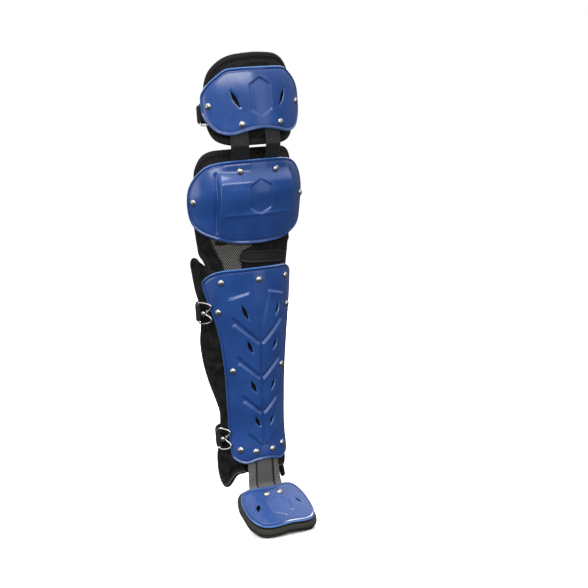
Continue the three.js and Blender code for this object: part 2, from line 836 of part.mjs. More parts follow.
const shinPadRows = [
  0, 0.035, 0.1, 0.115, 0.135, 0.2, 0.3, 0.41, 0.52, 0.62, 0.72, 0.84, 0.945, 0.965, 0.985, 1,
];
addPiece('shin_pad', outlinePiece({
  surface: onLeg,
  outline: wingOutline,
  halfArc: wingHalfAt,
  top: wingTop,
  low: wingLow,
  columns: [0, 0.2, 0.33, 0.38, 0.5, 0.64, 0.78, 0.95, 1],
  rows: shinPadRows,
  ...padLifts(shinPadLift, shinPadThickAt),
}), cloth);

// Toe pad, a block of padding under the toe plate that shows all round its edge
function toePadGeometry() {
  const half = toeHalfWide + toePadMargin;
  const last = toeColumns.length - 1;
  const room = (s) => {
    const across = 1 - ease((Math.abs(s.x) - tongueWide / 2 - 3) / 4);
    const along = 1 - ease((s.forward - toeTongueReach - 5) / 6);
    return (toeTongueThick + layerRoom) * across * along;
  };
  const rounded = (i, j) => i === 0 || i === last || j === 0 || j === toeRows.length - 1;
  const top = (i, j) => {
    const s = toeSpot(i, j, half, toePadMargin);
    return placeOnToe(s.x, s.forward, underPlate - room(s) - (rounded(i, j) ? 1 : 0));
  };
  const low = (i, j) => {
    const s = toeSpot(i, j, half, toePadMargin);
    return placeOnToe(s.x, s.forward, underPlate - toePadThick + (rounded(i, j) ? 1 : 0));
  };
  return shell(toeColumns.length, toeRows.length, top, low);
}
addPiece('toe_pad', toePadGeometry(), cloth);

// Webbing from under the thigh plate to under the knee plate
const bridge = (arc, z, lift) => place(bridgeSection, arc, z, lift);
const connectorTop = thighLow + connectorTuck;
const connectorLow = kneeTop - connectorTuck;
const connectorLevels = [
  connectorLow,
  kneeTop - 1,
  kneeTop,
  mix(kneeTop, thighPadLow, 0.5),
  thighPadLow,
  thighPadLow + 1,
  connectorTop,
];
for (const [side, way] of [['left', -1], ['right', 1]]) {
  const face = (lift) => (i, j) => {
    const z = connectorLevels[j];
    const slant = connectorSlant * clamp((z - kneeTop) / (thighPadLow - kneeTop));
    const middle = way * connectorArc + connectorShift - slant;
    return bridge(middle + (i / 2 - 0.5) * connectorWide, z, lift);
  };
  const strap = shell(3, connectorLevels.length, face(underPlate), face(underPlate - connectorThick));
  addPiece(`connector_strap_${side}`, strap, webbing);
}

// Instep strap from under the shin plate to under the toe plate
function tongueGeometry() {
  const top = shinLow + tongueTuck;
  const rows = [];
  for (const t of [0, 0.35, 0.7]) {
    const z = mix(top, shinLow - tongueStraight, t);
    rows.push({ at: (arc, lift) => onLeg(arc, z, lift), lift: underPlate, thick: tongueThick });
  }
  const start = rows[2].at(0, underPlate);
  const endForward = -toeLong * 0.3;
  for (const t of [0.4, 0.7, 0.9]) {
    rows.push({ blend: t, thick: mix(tongueThick, toeTongueThick, t) });
  }
  for (const f of [endForward, -toeLong * 0.12, toeTongueReach]) {
    rows.push({ at: (arc, lift) => placeOnToe(arc, f, lift), lift: underPlate, thick: toeTongueThick });
  }
  const legRow = rows[2];
  const toeRow = rows[6];
  const bend = (arc, lift, t) => {
    const a = legRow.at(arc, lift);
    const d = toeRow.at(arc, lift);
    const b = a.clone().add(new THREE.Vector3(0, 0, -(start.z - toeRivetZ) * 0.45));
    const slope = THREE.MathUtils.degToRad(toeSlope);
    const c = d.clone().add(new THREE.Vector3(0, Math.cos(slope), Math.sin(slope)).multiplyScalar(3));
    return new THREE.CubicBezierCurve3(a, b, c, d).getPoint(t);
  };
  const columns = [-0.5, -0.3, 0, 0.3, 0.5];
  const face = (inner) => (i, j) => {
    const row = rows[j];
    const arc = columns[i] * tongueWide;
    const lift = underPlate - (inner ? row.thick : 0);
    return row.blend === undefined ? row.at(arc, lift) : bend(arc, lift, row.blend);
  };
  return shell(columns.length, rows.length, face(false), face(true));
}
addPiece('instep_strap', tongueGeometry(), webbing);

// The place of the maker's tag, left generic: a bare black tag on the skirt
function tagGeometry() {
  const z = mix(kneeLow, shinTop, 0.6);
  const turn = THREE.MathUtils.degToRad(tagTilt);
  const corners = [-1, -0.6, -0.2, 0.2, 0.6, 1];
  const base = (s) => mix(underPlate, padUnderStraps, skirtShare(s));
  const face = (lift) => (i, j) => {
    const a = corners[i] * tagWide / 2;
    const b = (j / 2 - 0.5) * tagTall * (Math.abs(corners[i]) === 1 ? 0.7 : 1);
    const arc = tagArc + a * Math.cos(turn) - b * Math.sin(turn);
    const level = z + a * Math.sin(turn) + b * Math.cos(turn);
    return onLeg(arc, level, base(level) + lift);
  };
  return shell(corners.length, 3, face(tagThick + layerRoom), face(layerRoom));
}
addPiece('name_tag', tagGeometry(), tagBlack);

// A ring of wire bent to lie on the surface: a straight bar at the back and two lobes in front
function clipPath(bar, middle, long) {
  const t = clipTall / 2;
  const pinch = long * (1 - clipPinchShare);
  const points = [
    [0, -t + 3], [0, 0], [0, t - 3], [3, t], [long * 0.55, t], [long - 1.5, t - 2.5],
    [long, t - clipLobe], [long - 3, t - clipLobe - 4], [pinch, 2.6],
    [pinch - 2, 0], [pinch, -2.6], [long - 3, -t + clipLobe + 4],
    [long, -t + clipLobe], [long - 1.5, -t + 2.5], [long * 0.55, -t], [3, -t],
  ];
  return points.map(([a, b]) => ({ arc: a - bar, z: middle + b }));
}

function wireLoop(surface, spots, lift) {
  const curve = new THREE.CatmullRomCurve3(spots.map((s) => surface(s.arc, s.z, lift)), true, 'centripetal');
  const normals = spots.map((s) => surface(s.arc, s.z, lift + 1).sub(surface(s.arc, s.z, lift)).normalize());
  const steps = 2 * spots.length;
  const sides = 6;
  const points = [];
  for (let k = 0; k < steps; k += 1) {
    const u = k / steps;
    const at = curve.getPoint(u);
    const way = curve.getTangent(u);
    const near = normals[Math.floor(u * normals.length) % normals.length];
    const side = new THREE.Vector3().crossVectors(way, near).normalize();
    const out = new THREE.Vector3().crossVectors(side, way).normalize();
    for (let m = 0; m < sides; m += 1) {
      const a = (m / sides) * 2 * Math.PI;
      points.push(at.clone().addScaledVector(out, Math.cos(a) * wireWide / 2)
        .addScaledVector(side, Math.sin(a) * wireWide / 2));
    }
  }
  const faces = [];
  for (let k = 0; k < steps; k += 1) {
    for (let m = 0; m < sides; m += 1) {
      const a = k * sides + m;
      const b = k * sides + ((m + 1) % sides);
      const c = ((k + 1) % steps) * sides + ((m + 1) % sides);
      const d = ((k + 1) % steps) * sides + m;
      faces.push([a, b, c], [a, c, d]);
    }
  }
  return geometryFrom(points, faces);
}

// A strap closes behind the leg: sewn flat to the right side, it comes round to the left, turns the
// corner past the pad's edge and loops round the clip's bar
function bandPath({ surface, edge, bar, clipLift, sewnLift, bow, turnIn }, barFrame, z) {
  const lift = sewnLift + strapThick / 2;
  const points = [];
  for (let k = 0; k < sewnSteps; k += 1) {
    points.push(surface(edge - sewnLong * (1 - k / sewnSteps), z, lift));
  }
  const start = surface(edge, z, lift);
  const on = start.clone().sub(surface(edge - 1, z, lift)).normalize();
  const way = new THREE.Vector3(-1, 0, 0).transformDirection(barFrame);
  const end = surface(-bar, z, clipLift).addScaledVector(way, wireWide / 2 + eyeRoom + strapThick / 2);
  const cornerArc = -(Math.max(edge, bar) + cornerRoom);
  const corner = surface(cornerArc, z, Math.min(clipLift, -cornerSink));
  const along = surface(cornerArc - 1, z, 0).sub(surface(cornerArc, z, 0)).normalize();
  const out = surface(cornerArc, z, 1).sub(surface(cornerArc, z, 0)).normalize();
  const inwards = THREE.MathUtils.degToRad(turnIn);
  const home = along.multiplyScalar(Math.cos(inwards)).addScaledVector(out, -Math.sin(inwards));
  const past = corner.clone().addScaledVector(home, cornerLong);
  const reach = (start.x - past.x) * 0.21;
  const back = bow * 0.8;
  const a = start.clone().addScaledVector(on, reach).add(new THREE.Vector3(0, back, 0));
  const b = past.clone().addScaledVector(home, reach + back);
  const behind = new THREE.CubicBezierCurve3(start, a, b, past);
  const round = new THREE.QuadraticBezierCurve3(past, corner, end);
  for (let k = 0; k < bandSteps; k += 1) points.push(behind.getPoint(k / bandSteps).setZ(z));
  for (let k = 0; k <= cornerSteps; k += 1) points.push(round.getPoint(k / cornerSteps).setZ(z));
  return points;
}

function bandSide(points, side) {
  return points.map((p, k) => {
    const before = points[Math.max(0, k - 1)];
    const after = points[Math.min(points.length - 1, k + 1)];
    const normal = new THREE.Vector3(after.y - before.y, before.x - after.x, 0).normalize();
    return p.clone().addScaledVector(normal, side * strapThick / 2);
  });
}

function eyeTube(barFrame) {
  const hole = wireWide / 2 + eyeRoom;
  const ring = new THREE.Shape();
  ring.absarc(0, 0, hole + strapThick, 0, 2 * Math.PI, false);
  const middle = new THREE.Path();
  middle.absarc(0, 0, hole, 0, 2 * Math.PI, true);
  ring.holes.push(middle);
  const tube = new THREE.ExtrudeGeometry(ring, { depth: eyeTall, bevelEnabled: false, curveSegments: 6 });
  tube.translate(0, 0, -eyeTall / 2);
  tube.rotateX(Math.PI / 2);
  return tube.applyMatrix4(barFrame);
}

// The post that the clip hooks on stands just behind the pinch of the wire
function postGeometry({ surface, z, bar, clipLift, clipLong, footLift, capLift }) {
  const arc = clipLong * (1 - clipPinchShare) - 2 - wireWide / 2 - gap - postRadius - bar;
  const over = clipLift + wireWide / 2 + gap;
  const profile = capLift
    ? [[0, footLift], [postRadius, footLift], [postRadius, capLift], [0, capLift]]
    : [[0, footLift], [postHeadRadius, footLift], [postHeadRadius, footLift + postFootTall],
      [postRadius, footLift + postFootTall], [postRadius, over], [postHeadRadius, over],
      [postHeadRadius * 0.8, over + postHeadTall], [0, over + postHeadTall]];
  const post = new THREE.LatheGeometry(profile.map(([r, h]) => new THREE.Vector2(r, h)), 10);
  post.rotateX(Math.PI / 2);
  return closed(post.applyMatrix4(frameAt(surface, arc, z, 0)));
}

function addStrap(spec) {
  const { name, surface, z, bar, clipLift, clipLong } = spec;
  const barFrame = frameAt(surface, -bar, z, clipLift);
  const edges = [-1, 1].map((e) => bandPath(spec, barFrame, z + e * strapWide / 2));
  const face = (side) => {
    const rows = edges.map((points) => bandSide(points, side));
    return (i, j) => rows[j][i];
  };
  const band = shell(edges[0].length, 2, face(1), face(-1));
  addPiece(`${name}_strap`, join(band, [eyeTube(barFrame)]), webbing);
  addPiece(`${name}_clip`, wireLoop(surface, clipPath(bar, z, clipLong), clipLift), steel);
  addPiece(`${name}_post`, postGeometry(spec), steel);
}

addStrap({
  name: 'thigh',
  surface: onThigh,
  z: mix(thighLow, thighTop, 0.35),
  edge: thighPadHalfArc,
  bar: thighPadHalfArc + eyeStandOff,
  clipLift: underPlate - wireWide / 2,
  clipLong: thighClipLong,
  sewnLift: underPlate - strapThick,
  footLift: padUnderStraps + gap,
  capLift: underPlate,
  bow: thighStrapBow,
  turnIn: thighStrapTurn,
});
for (const [name, down, inset, clipLong, bow] of [
  ['calf', 0.215, calfClipInset, calfClipLong, calfStrapBow],
  ['ankle', 0.865, ankleClipInset, ankleClipLong, ankleStrapBow],
]) {
  const z = mix(shinTop, shinLow, down);
  addStrap({
    name,
    surface: onLeg,
    z,
    edge: wingHalfAt(z),
    bar: wingHalfAt(z) - inset,
    clipLift: layerRoom + wireWide / 2,
    clipLong,
    sewnLift: -wingSink + layerRoom,
    footLift: -wingSink + 2 * gap,
    bow,
    turnIn: legStrapTurn,
  });
}

// Rivets
const rivetPlaces = {
  thigh: [
    [-0.86, 0.46], [-0.34, 0.16], [0.34, 0.16], [0.86, 0.46],
  ].map(([a, v]) => ({
    mesh: thighPlate, surface: onThigh, arc: a * thighHalfArc, z: mix(thighLow, thighTop, v),
  })),
  knee: [
    [-0.89, 0.54], [-0.25, 0.87], [0.25, 0.87], [0.89, 0.54],
  ].map(([a, v]) => ({
    mesh: kneePlate, surface: onLeg, arc: a * kneeHalfArc, z: mix(kneeLow, kneeTop, v),
  })),
  shin: [
    [-0.62, 0.064], [0, 0.062], [0.62, 0.064], [-0.69, 0.212], [0.69, 0.212], [-0.465, 0.515],
    [0.465, 0.515], [-0.4, 0.923], [-0.15, 0.937], [0.15, 0.937], [0.4, 0.923],
  ].map(([a, v]) => ({
    mesh: shinPlate, surface: onLeg, arc: a * shinHalfArc, z: mix(shinTop, shinLow, v),
  })),
  toe: [-0.2, 0.2].map((a) => ({ mesh: toePlate, surface: onToe, arc: a * toeHalfWide, z: 0 })),
};
for (const [plate, places] of Object.entries(rivetPlaces)) {
  places.forEach(({ mesh, surface, arc, z }, k) => rivet(`${plate}_rivet_${k + 1}`, mesh, surface, arc, z));
}

export default part;
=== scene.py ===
# %% [markdown]
# This lesson dresses a baseball catcher's leg guard in Blender.
# The guard is a chain of four moulded plates down the front of the leg: thigh, knee, shin and
# toe. Each plate is riveted to a padded fabric lining, webbing joins one plate to the next, and
# elastic straps with wire clips close it behind the leg.
# The first cell loads the CAD model, which fixes every size and place in metres.

# %% Load the frame
import math

import bpy
import numpy as np
from mathutils import Matrix, Vector
from mathutils.kdtree import KDTree


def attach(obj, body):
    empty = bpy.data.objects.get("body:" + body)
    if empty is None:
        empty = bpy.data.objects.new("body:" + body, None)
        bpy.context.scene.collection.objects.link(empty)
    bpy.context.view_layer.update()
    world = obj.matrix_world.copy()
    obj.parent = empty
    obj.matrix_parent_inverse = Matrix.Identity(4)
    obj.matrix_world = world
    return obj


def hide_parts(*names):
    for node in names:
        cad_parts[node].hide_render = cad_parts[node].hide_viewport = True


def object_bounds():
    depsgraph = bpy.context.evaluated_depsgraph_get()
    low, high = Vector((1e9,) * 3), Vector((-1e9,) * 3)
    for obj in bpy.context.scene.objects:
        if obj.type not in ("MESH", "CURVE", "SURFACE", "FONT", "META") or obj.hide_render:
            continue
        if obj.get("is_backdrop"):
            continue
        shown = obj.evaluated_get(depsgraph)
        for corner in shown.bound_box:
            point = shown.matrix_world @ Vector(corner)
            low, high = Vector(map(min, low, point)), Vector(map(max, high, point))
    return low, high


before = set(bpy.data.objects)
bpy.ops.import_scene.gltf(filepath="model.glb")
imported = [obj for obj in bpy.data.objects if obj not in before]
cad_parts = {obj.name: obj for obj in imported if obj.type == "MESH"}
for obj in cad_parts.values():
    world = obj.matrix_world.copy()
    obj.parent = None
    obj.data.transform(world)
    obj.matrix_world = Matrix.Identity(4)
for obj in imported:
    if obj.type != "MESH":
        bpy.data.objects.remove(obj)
cad_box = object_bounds()
print("CAD nodes:", len(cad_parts), "box in m:", cad_box)

# %% [markdown]
# A guard is bent round a leg, so its pieces are easier to draw flat and then bend.
# Flat, a point has an arc length to the left or right of the shin's ridge and a height.
# The next cell holds the small formulas for that: a blend between two numbers, a soft step, and
# a smooth curve through a short table of measured pairs. All lengths are in millimetres, because
# that is how a maker would write them down, and MM turns them into metres at the very end.

# %% Small formulas
MM = 0.001


def mix(a, b, t):
    return a + (b - a) * t


def ease(t):
    c = np.clip(t, 0, 1)
    return c * c * (3 - 2 * c)


def through(table, x):
    """A smooth curve through (place, value) pairs that never overshoots them."""
    places, values = np.array(table, float).T
    gap = np.diff(places)
    step = np.diff(values) / gap
    slope = np.concatenate([step[:1], np.zeros(len(places) - 2), step[-1:]])
    same_way = step[:-1] * step[1:] > 0
    total = np.where(same_way, step[:-1] + step[1:], 1)
    slope[1:-1] = np.where(same_way, 2 * step[:-1] * step[1:] / total, 0)
    x = np.clip(x, places[0], places[-1])
    i = np.clip(np.searchsorted(places, x, side="right") - 1, 0, len(places) - 2)
    t = (x - places[i]) / gap[i]
    side = (1 - t) * slope[i] - t * slope[i + 1]
    return mix(values[i], values[i + 1], t * t * (3 - 2 * t)) + gap[i] * t * (1 - t) * side


def curve_through(a, b, c, d, t):
    """A smooth line that leaves a towards b and reaches d from c."""
    return a * (1 - t) ** 3 + b * 3 * t * (1 - t) ** 2 + c * 3 * t * t * (1 - t) + d * t ** 3


print("half way between 2 and 6:", mix(2, 6, 0.5))

# %% [markdown]
# The real guard is measured by its levels: where each plate starts and ends above and below the
# middle of the knee. They are the same numbers that the CAD model has, so that every piece made
# here lands on the solid it stands for.

# %% Levels and sizes
KNEE_TOP, KNEE_LOW = 57, -58
THIGH_LOW, THIGH_TOP = 90, 179
SHIN_TOP, SHIN_LOW = -91, -370
KNEE_PAD_TOP, SKIRT_LOW = 73, -104
WING_TOP, WING_LOW = -72, -407
THIGH_PAD_LOW, THIGH_PAD_TOP = 76, 199
TOE_RIVET_Z = -410
PLATE = 3.0
UNDER_PLATE = -3.9
UNDER_STRAPS = -7.0
THIGH_HALF, KNEE_HALF, SHIN_HALF, TOE_HALF = 85, 106, 87, 50
THIGH_PAD_HALF, KNEE_PAD_HALF, WING_HALF = 86, 103, 117
TOE_LONG = 66
print("height of the guard's front in mm:", THIGH_PAD_TOP - WING_LOW)

# %% [markdown]
# A leg is round, wider at the thigh than at the ankle, and the knee plate bends tighter at its
# sides than across its front. A table of sections says how tightly the guard is bent at each
# height and how far its ridge stands in front. Bending a flat point is then plain trigonometry.

# %% The bent surface
KNEE_FLAT_ARC = 55
KNEE_R, KNEE_SIDE, KNEE_FRONT = 110, 82, 100
SHIN_R, ANKLE_R, ANKLE_FRONT = 76, 56, 52
SECTIONS = [
    (WING_LOW, ANKLE_R * 1.02, ANKLE_R * 1.02, ANKLE_FRONT * 1.05),
    (mix(SHIN_LOW, SHIN_TOP, 0.03), ANKLE_R, ANKLE_R, ANKLE_FRONT * 1.04),
    (mix(SHIN_LOW, SHIN_TOP, 0.14), ANKLE_R, ANKLE_R, ANKLE_FRONT),
    (mix(SHIN_LOW, SHIN_TOP, 0.36), mix(ANKLE_R, SHIN_R, 0.2), mix(ANKLE_R, SHIN_R, 0.2),
     mix(ANKLE_FRONT, SHIN_R, 0.2)),
    (mix(SHIN_LOW, SHIN_TOP, 0.64), mix(ANKLE_R, SHIN_R, 0.62), mix(ANKLE_R, SHIN_R, 0.62),
     mix(ANKLE_FRONT, SHIN_R, 0.62)),
    (mix(SHIN_LOW, SHIN_TOP, 0.94), SHIN_R, SHIN_R, SHIN_R),
    (SHIN_TOP, SHIN_R * 1.03, SHIN_R * 1.02, SHIN_R * 1.01),
    (KNEE_LOW, KNEE_R * 0.91, KNEE_SIDE, KNEE_FRONT * 0.84),
    (mix(KNEE_LOW, KNEE_TOP, 0.32), KNEE_R, KNEE_SIDE, KNEE_FRONT * 0.9),
    (mix(KNEE_LOW, KNEE_TOP, 0.66), KNEE_R, KNEE_SIDE, KNEE_FRONT),
    (KNEE_TOP, KNEE_R, KNEE_SIDE, KNEE_FRONT),
    (KNEE_PAD_TOP, KNEE_R, KNEE_SIDE, KNEE_FRONT * 0.98),
]
THIGH_SECTION = (90, 90, 124)


def leg_section(z):
    return tuple(through([(row[0], row[k]) for row in SECTIONS], z) for k in (1, 2, 3))


def bend(section, arc, z, lift):
    radius, side, front = section
    first = np.minimum(np.abs(arc), KNEE_FLAT_ARC) / radius
    turn = first + np.maximum(0, np.abs(arc) - KNEE_FLAT_ARC) / side
    x = radius * np.sin(first) + side * (np.sin(turn) - np.sin(first)) + lift * np.sin(turn)
    out = radius * np.cos(first) + side * (np.cos(turn) - np.cos(first)) + lift * np.cos(turn)
    return np.stack(np.broadcast_arrays(np.sign(arc) * x, radius - front - out, z), -1)


def on_leg(arc, z, lift):
    return bend(leg_section(np.asarray(z, float)), arc, z, lift)


def on_thigh(arc, z, lift):
    return bend(THIGH_SECTION, arc, z, lift)


def on_bridge(arc, z, lift):
    """Between the thigh and the knee the webbing steps back from one bend to the other."""
    t = np.clip((THIGH_PAD_LOW - z) / (THIGH_PAD_LOW - KNEE_TOP), 0, 1)
    knee = leg_section(np.minimum(z, KNEE_TOP))
    return bend(tuple(mix(a, b, t) for a, b in zip(THIGH_SECTION, knee)), arc, z, lift)


print("shin ridge in mm:", on_leg(0, SHIN_TOP, 0))

# %% [markdown]
# The toe cap isn't on the leg but slopes down in front of it, crowned across the foot. Its flat
# height counts backwards from the toes, so that "up" on every piece means "towards the leg".

# %% The toe's surface
TOE_SLOPE = math.tan(math.radians(30))
TOE_CROWN = 11
TOE_FORWARD = 69.5


def toe_base(a, f):
    across = TOE_CROWN * (a / TOE_HALF) ** 2
    nose = TOE_CROWN * 0.5 * ease((f - TOE_LONG * 0.45) / TOE_LONG) ** 2
    z = TOE_RIVET_Z - TOE_SLOPE * f - across - nose
    return np.stack(np.broadcast_arrays(a, -TOE_FORWARD - f, z), -1)


def on_toe(arc, back, lift):
    forward = -np.asarray(back, float)
    arc = np.asarray(arc, float)
    across = toe_base(arc + 1, forward) - toe_base(arc - 1, forward)
    along = toe_base(arc, forward + 1) - toe_base(arc, forward - 1)
    normal = -np.cross(across, along)
    normal /= np.linalg.norm(normal, axis=-1, keepdims=True)
    return toe_base(arc, forward) + normal * np.asarray(lift, float)[..., None]


print("toe rivet line in mm:", on_toe(0, 0, 0))

# %% [markdown]
# Every point also needs a small frame of its own: which way is along the arc, which way is up
# the piece and which way is straight out. Rivets, vents and clips are set on it.

# %% A frame on the surface
def unit(way):
    """A direction of length 1."""
    return way / np.linalg.norm(way)


def frame_at(surface, arc, z, lift=0.0):
    at = surface(arc, z, lift)
    along = surface(arc + 1, z, lift) - surface(arc - 1, z, lift)
    up = surface(arc, z + 1, lift) - surface(arc, z - 1, lift)
    out = np.cross(along, up)
    out, up = unit(out * np.sign(out @ (surface(arc, z, lift + 1) - at))), unit(up)
    return at, np.cross(up, out), up, out


print("straight out at the shin's ridge:", np.round(frame_at(on_leg, 0.0, -200.0)[3], 3))

# %% [markdown]
# Meshes are built from plain lists of points and faces. Each mesh keeps its flat place as a UV
# map in millimetres, so a weave drawn on it has its real thread spacing even where the piece is
# bent, and it keeps the distance to its edge, which a finish can use for a rim or a binding.

# %% Make a mesh
def between(one, other):
    """The four-cornered faces between two closed rings of point numbers."""
    return np.stack([one, np.roll(one, -1), np.roll(other, -1), other], -1).tolist()


def spindle(start, rings, sides):
    """The faces of a body with one point at each end and rings of points between them."""
    ring = start + 1 + np.arange(rings * sides).reshape(rings, sides)
    faces = [[start, b, a] for a, b in zip(ring[0], np.roll(ring[0], -1))]
    for one, other in zip(ring, ring[1:]):
        faces += between(one, other)
    return faces + [[a, b, ring[-1][-1] + 1] for a, b in zip(ring[-1], np.roll(ring[-1], -1))]


def make_mesh(name, points, faces, flat=None, edge=None, sharp=40):
    mesh = bpy.data.meshes.new(name)
    mesh.from_pydata((np.asarray(points) * MM).tolist(), [], faces)
    if flat is not None:
        layer = mesh.uv_layers.new(name="flat_mm")
        corner = np.zeros(len(mesh.loops), int)
        mesh.loops.foreach_get("vertex_index", corner)
        layer.data.foreach_set("uv", np.asarray(flat, float)[corner].ravel())
    if edge is not None:
        mesh.attributes.new("edge", "FLOAT", "POINT").data.foreach_set("value", edge)
    mesh.validate()
    mesh.shade_smooth()
    mesh.set_sharp_from_angle(angle=math.radians(sharp))
    piece = bpy.data.objects.new(name, mesh)
    bpy.context.collection.objects.link(piece)
    return piece


def own(piece, finish, slot, *nodes):
    """Gives a piece its finish and its body, and says which CAD nodes it stands for; slot is not used."""
    piece.data.materials.clear()
    piece.data.materials.append(finish)
    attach(piece, "root")
    if nodes:
        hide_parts(*nodes)
    print(f"{piece.name}: {len(piece.data.polygons)} faces, {finish.name}")
    return piece


# %% [markdown]
# Colours in this lesson are the hex values that a screen shows. Blender's shaders want linear
# light, so one function turns them over. Another small function adds one node to a material
# with its settings and its links, so that each recipe below reads from top to bottom.

# %% Colours and nodes
COLOURS = {"data_type": "RGBA"}
SOFT = {"interpolation_type": "SMOOTHSTEP"}


def srgb(code):
    """The linear colour of an sRGB hex value such as "2c4fa0"."""
    parts = [int(code[k:k + 2], 16) / 255 for k in (0, 2, 4)]
    return tuple(c / 12.92 if c <= 0.04045 else ((c + 0.055) / 1.055) ** 2.4 for c in parts) + (1.0,)


def feed(tree, node, inputs):
    """Sets or links a node's inputs: a list in order, a dict by name or number."""
    for key, value in inputs.items() if isinstance(inputs, dict) else enumerate(inputs):
        if isinstance(value, bpy.types.NodeSocket):
            tree.links.new(value, node.inputs[key])
        else:
            node.inputs[key].default_value = value


def add(tree, kind, inputs=(), **settings):
    """Adds one node with its settings and its inputs."""
    made = tree.nodes.new("ShaderNode" + kind)
    for key, value in settings.items():
        setattr(made, key, value)
    feed(tree, made, inputs)
    return made.outputs


def new_finish(name, **sockets):
    """A material whose shader has the given values on its own sockets."""
    material = bpy.data.materials.new(name)
    material.use_nodes = True
    tree = material.node_tree
    shader = tree.nodes["Principled BSDF"]
    feed(tree, shader, {key.replace("_", " "): value for key, value in sockets.items()})
    return material, tree, shader


print("royal blue in linear light:", [round(c, 3) for c in srgb("2c4fa0")])

# %% [markdown]
# The plates are injection-moulded polypropylene in royal blue. Out of a polished mould it is
# glossy, yet soft clouds of slightly duller plastic and a very fine orange-peel ripple break up
# its reflections. Along the rim a narrow paler line runs all round: a painted highlight where the
# thin rounded rim would catch the light, with a painted shade line in the gutter just inside it.
# One noise draws the clouds, a second the rubbed gloss, a third the peel.

# %% Moulded polypropylene
def moulded_plastic():
    material, tree, shader = new_finish(
        "polypropylene_moulded_blue", IOR=1.49, Roughness=0.26, Coat_Weight=0.4, Coat_Roughness=0.16)
    place = add(tree, "UVMap", uv_map="flat_mm")["UV"]
    edge = add(tree, "Attribute", attribute_name="edge")["Fac"]
    # Clouds about 40 mm across in the pigment
    cloud = add(tree, "TexNoise", {"Vector": place, "Scale": 1 / 40, "Detail": 3.0})["Fac"]
    share = add(tree, "MapRange", [cloud, 0.35, 0.65], **SOFT)["Result"]
    base = add(tree, "Mix", {0: share, 6: srgb("1a4080"), 7: srgb("22498c")}, **COLOURS)[2]
    # Painted shade: a deeper line 3 to 6 mm inside the rim, in the gutter behind the bead
    near = add(tree, "MapRange", [edge, 2.2, 3.4], **SOFT)["Result"]
    gone = add(tree, "MapRange", [edge, 4.2, 6.0, 0.7, 0.0], **SOFT)["Result"]
    inside = add(tree, "Math", [near, gone], operation="MULTIPLY")[0]
    base = add(tree, "Mix", {0: inside, 6: base, 7: srgb("16346f")}, **COLOURS)[2]
    # Painted highlight: a pale line on the rim's outer 2 mm, where the rounded rim catches the light
    pale = add(tree, "MapRange", [edge, 0.4, 1.9, 0.8, 0.0], **SOFT)["Result"]
    base = add(tree, "Mix", {0: pale, 6: base, 7: srgb("5b86c8")}, **COLOURS)[2]
    # Gloss varies in streaks 12 mm wide where hands have rubbed it
    rub = add(tree, "TexNoise", {"Vector": place, "Scale": 1 / 12, "Detail": 4.0})["Fac"]
    gloss = add(tree, "MapRange", [rub, 0.3, 0.75, 0.2, 0.32])["Result"]
    # Orange peel has a pitch of about 1 mm; it is drawn at 2.5 mm to show
    peel = add(tree, "TexNoise", {"Vector": place, "Scale": 1 / 2.5, "Detail": 2.0})["Fac"]
    bump = add(tree, "Bump", {"Height": peel, "Strength": 0.02, "Distance": 0.4 * MM})
    feed(tree, shader, {"Base Color": base, "Roughness": gloss, "Normal": bump["Normal"]})
    return material


PLASTIC = moulded_plastic()
print("made", PLASTIC.name, "with", len(PLASTIC.node_tree.nodes), "nodes")

# %% [markdown]
# The lining is covered with ballistic nylon: thick yarns in a plain weave, dyed black. Each yarn
# crossing is a tiny raised bead, so the cloth looks grey where light rakes it and black
# elsewhere. Woven cloth has no flat face to shine, so its specular level is set low.
# The real yarns are 1 mm apart. They are drawn 1.9 mm apart here, or they would vanish.
# Round each pad runs a ribbed binding tape 8 mm wide, a little greyer than the cloth.

# %% Ballistic nylon with its binding
def ribs(tree, measure, pitch):
    """Ribs across a measure in mm: a wave between -1 and 1 that repeats every pitch."""
    turned = add(tree, "Math", [measure, 2 * math.pi / pitch], operation="MULTIPLY")[0]
    return add(tree, "Math", [turned], operation="SINE")[0]


def plain_weave(tree, place, pitch):
    """Beads of a plain weave: crosswise ribs times lengthwise ribs."""
    parts = add(tree, "SeparateXYZ", [place])
    across, along = ribs(tree, parts["X"], pitch * 2), ribs(tree, parts["Y"], pitch * 2)
    return add(tree, "Math", [across, along], operation="MULTIPLY")[0]


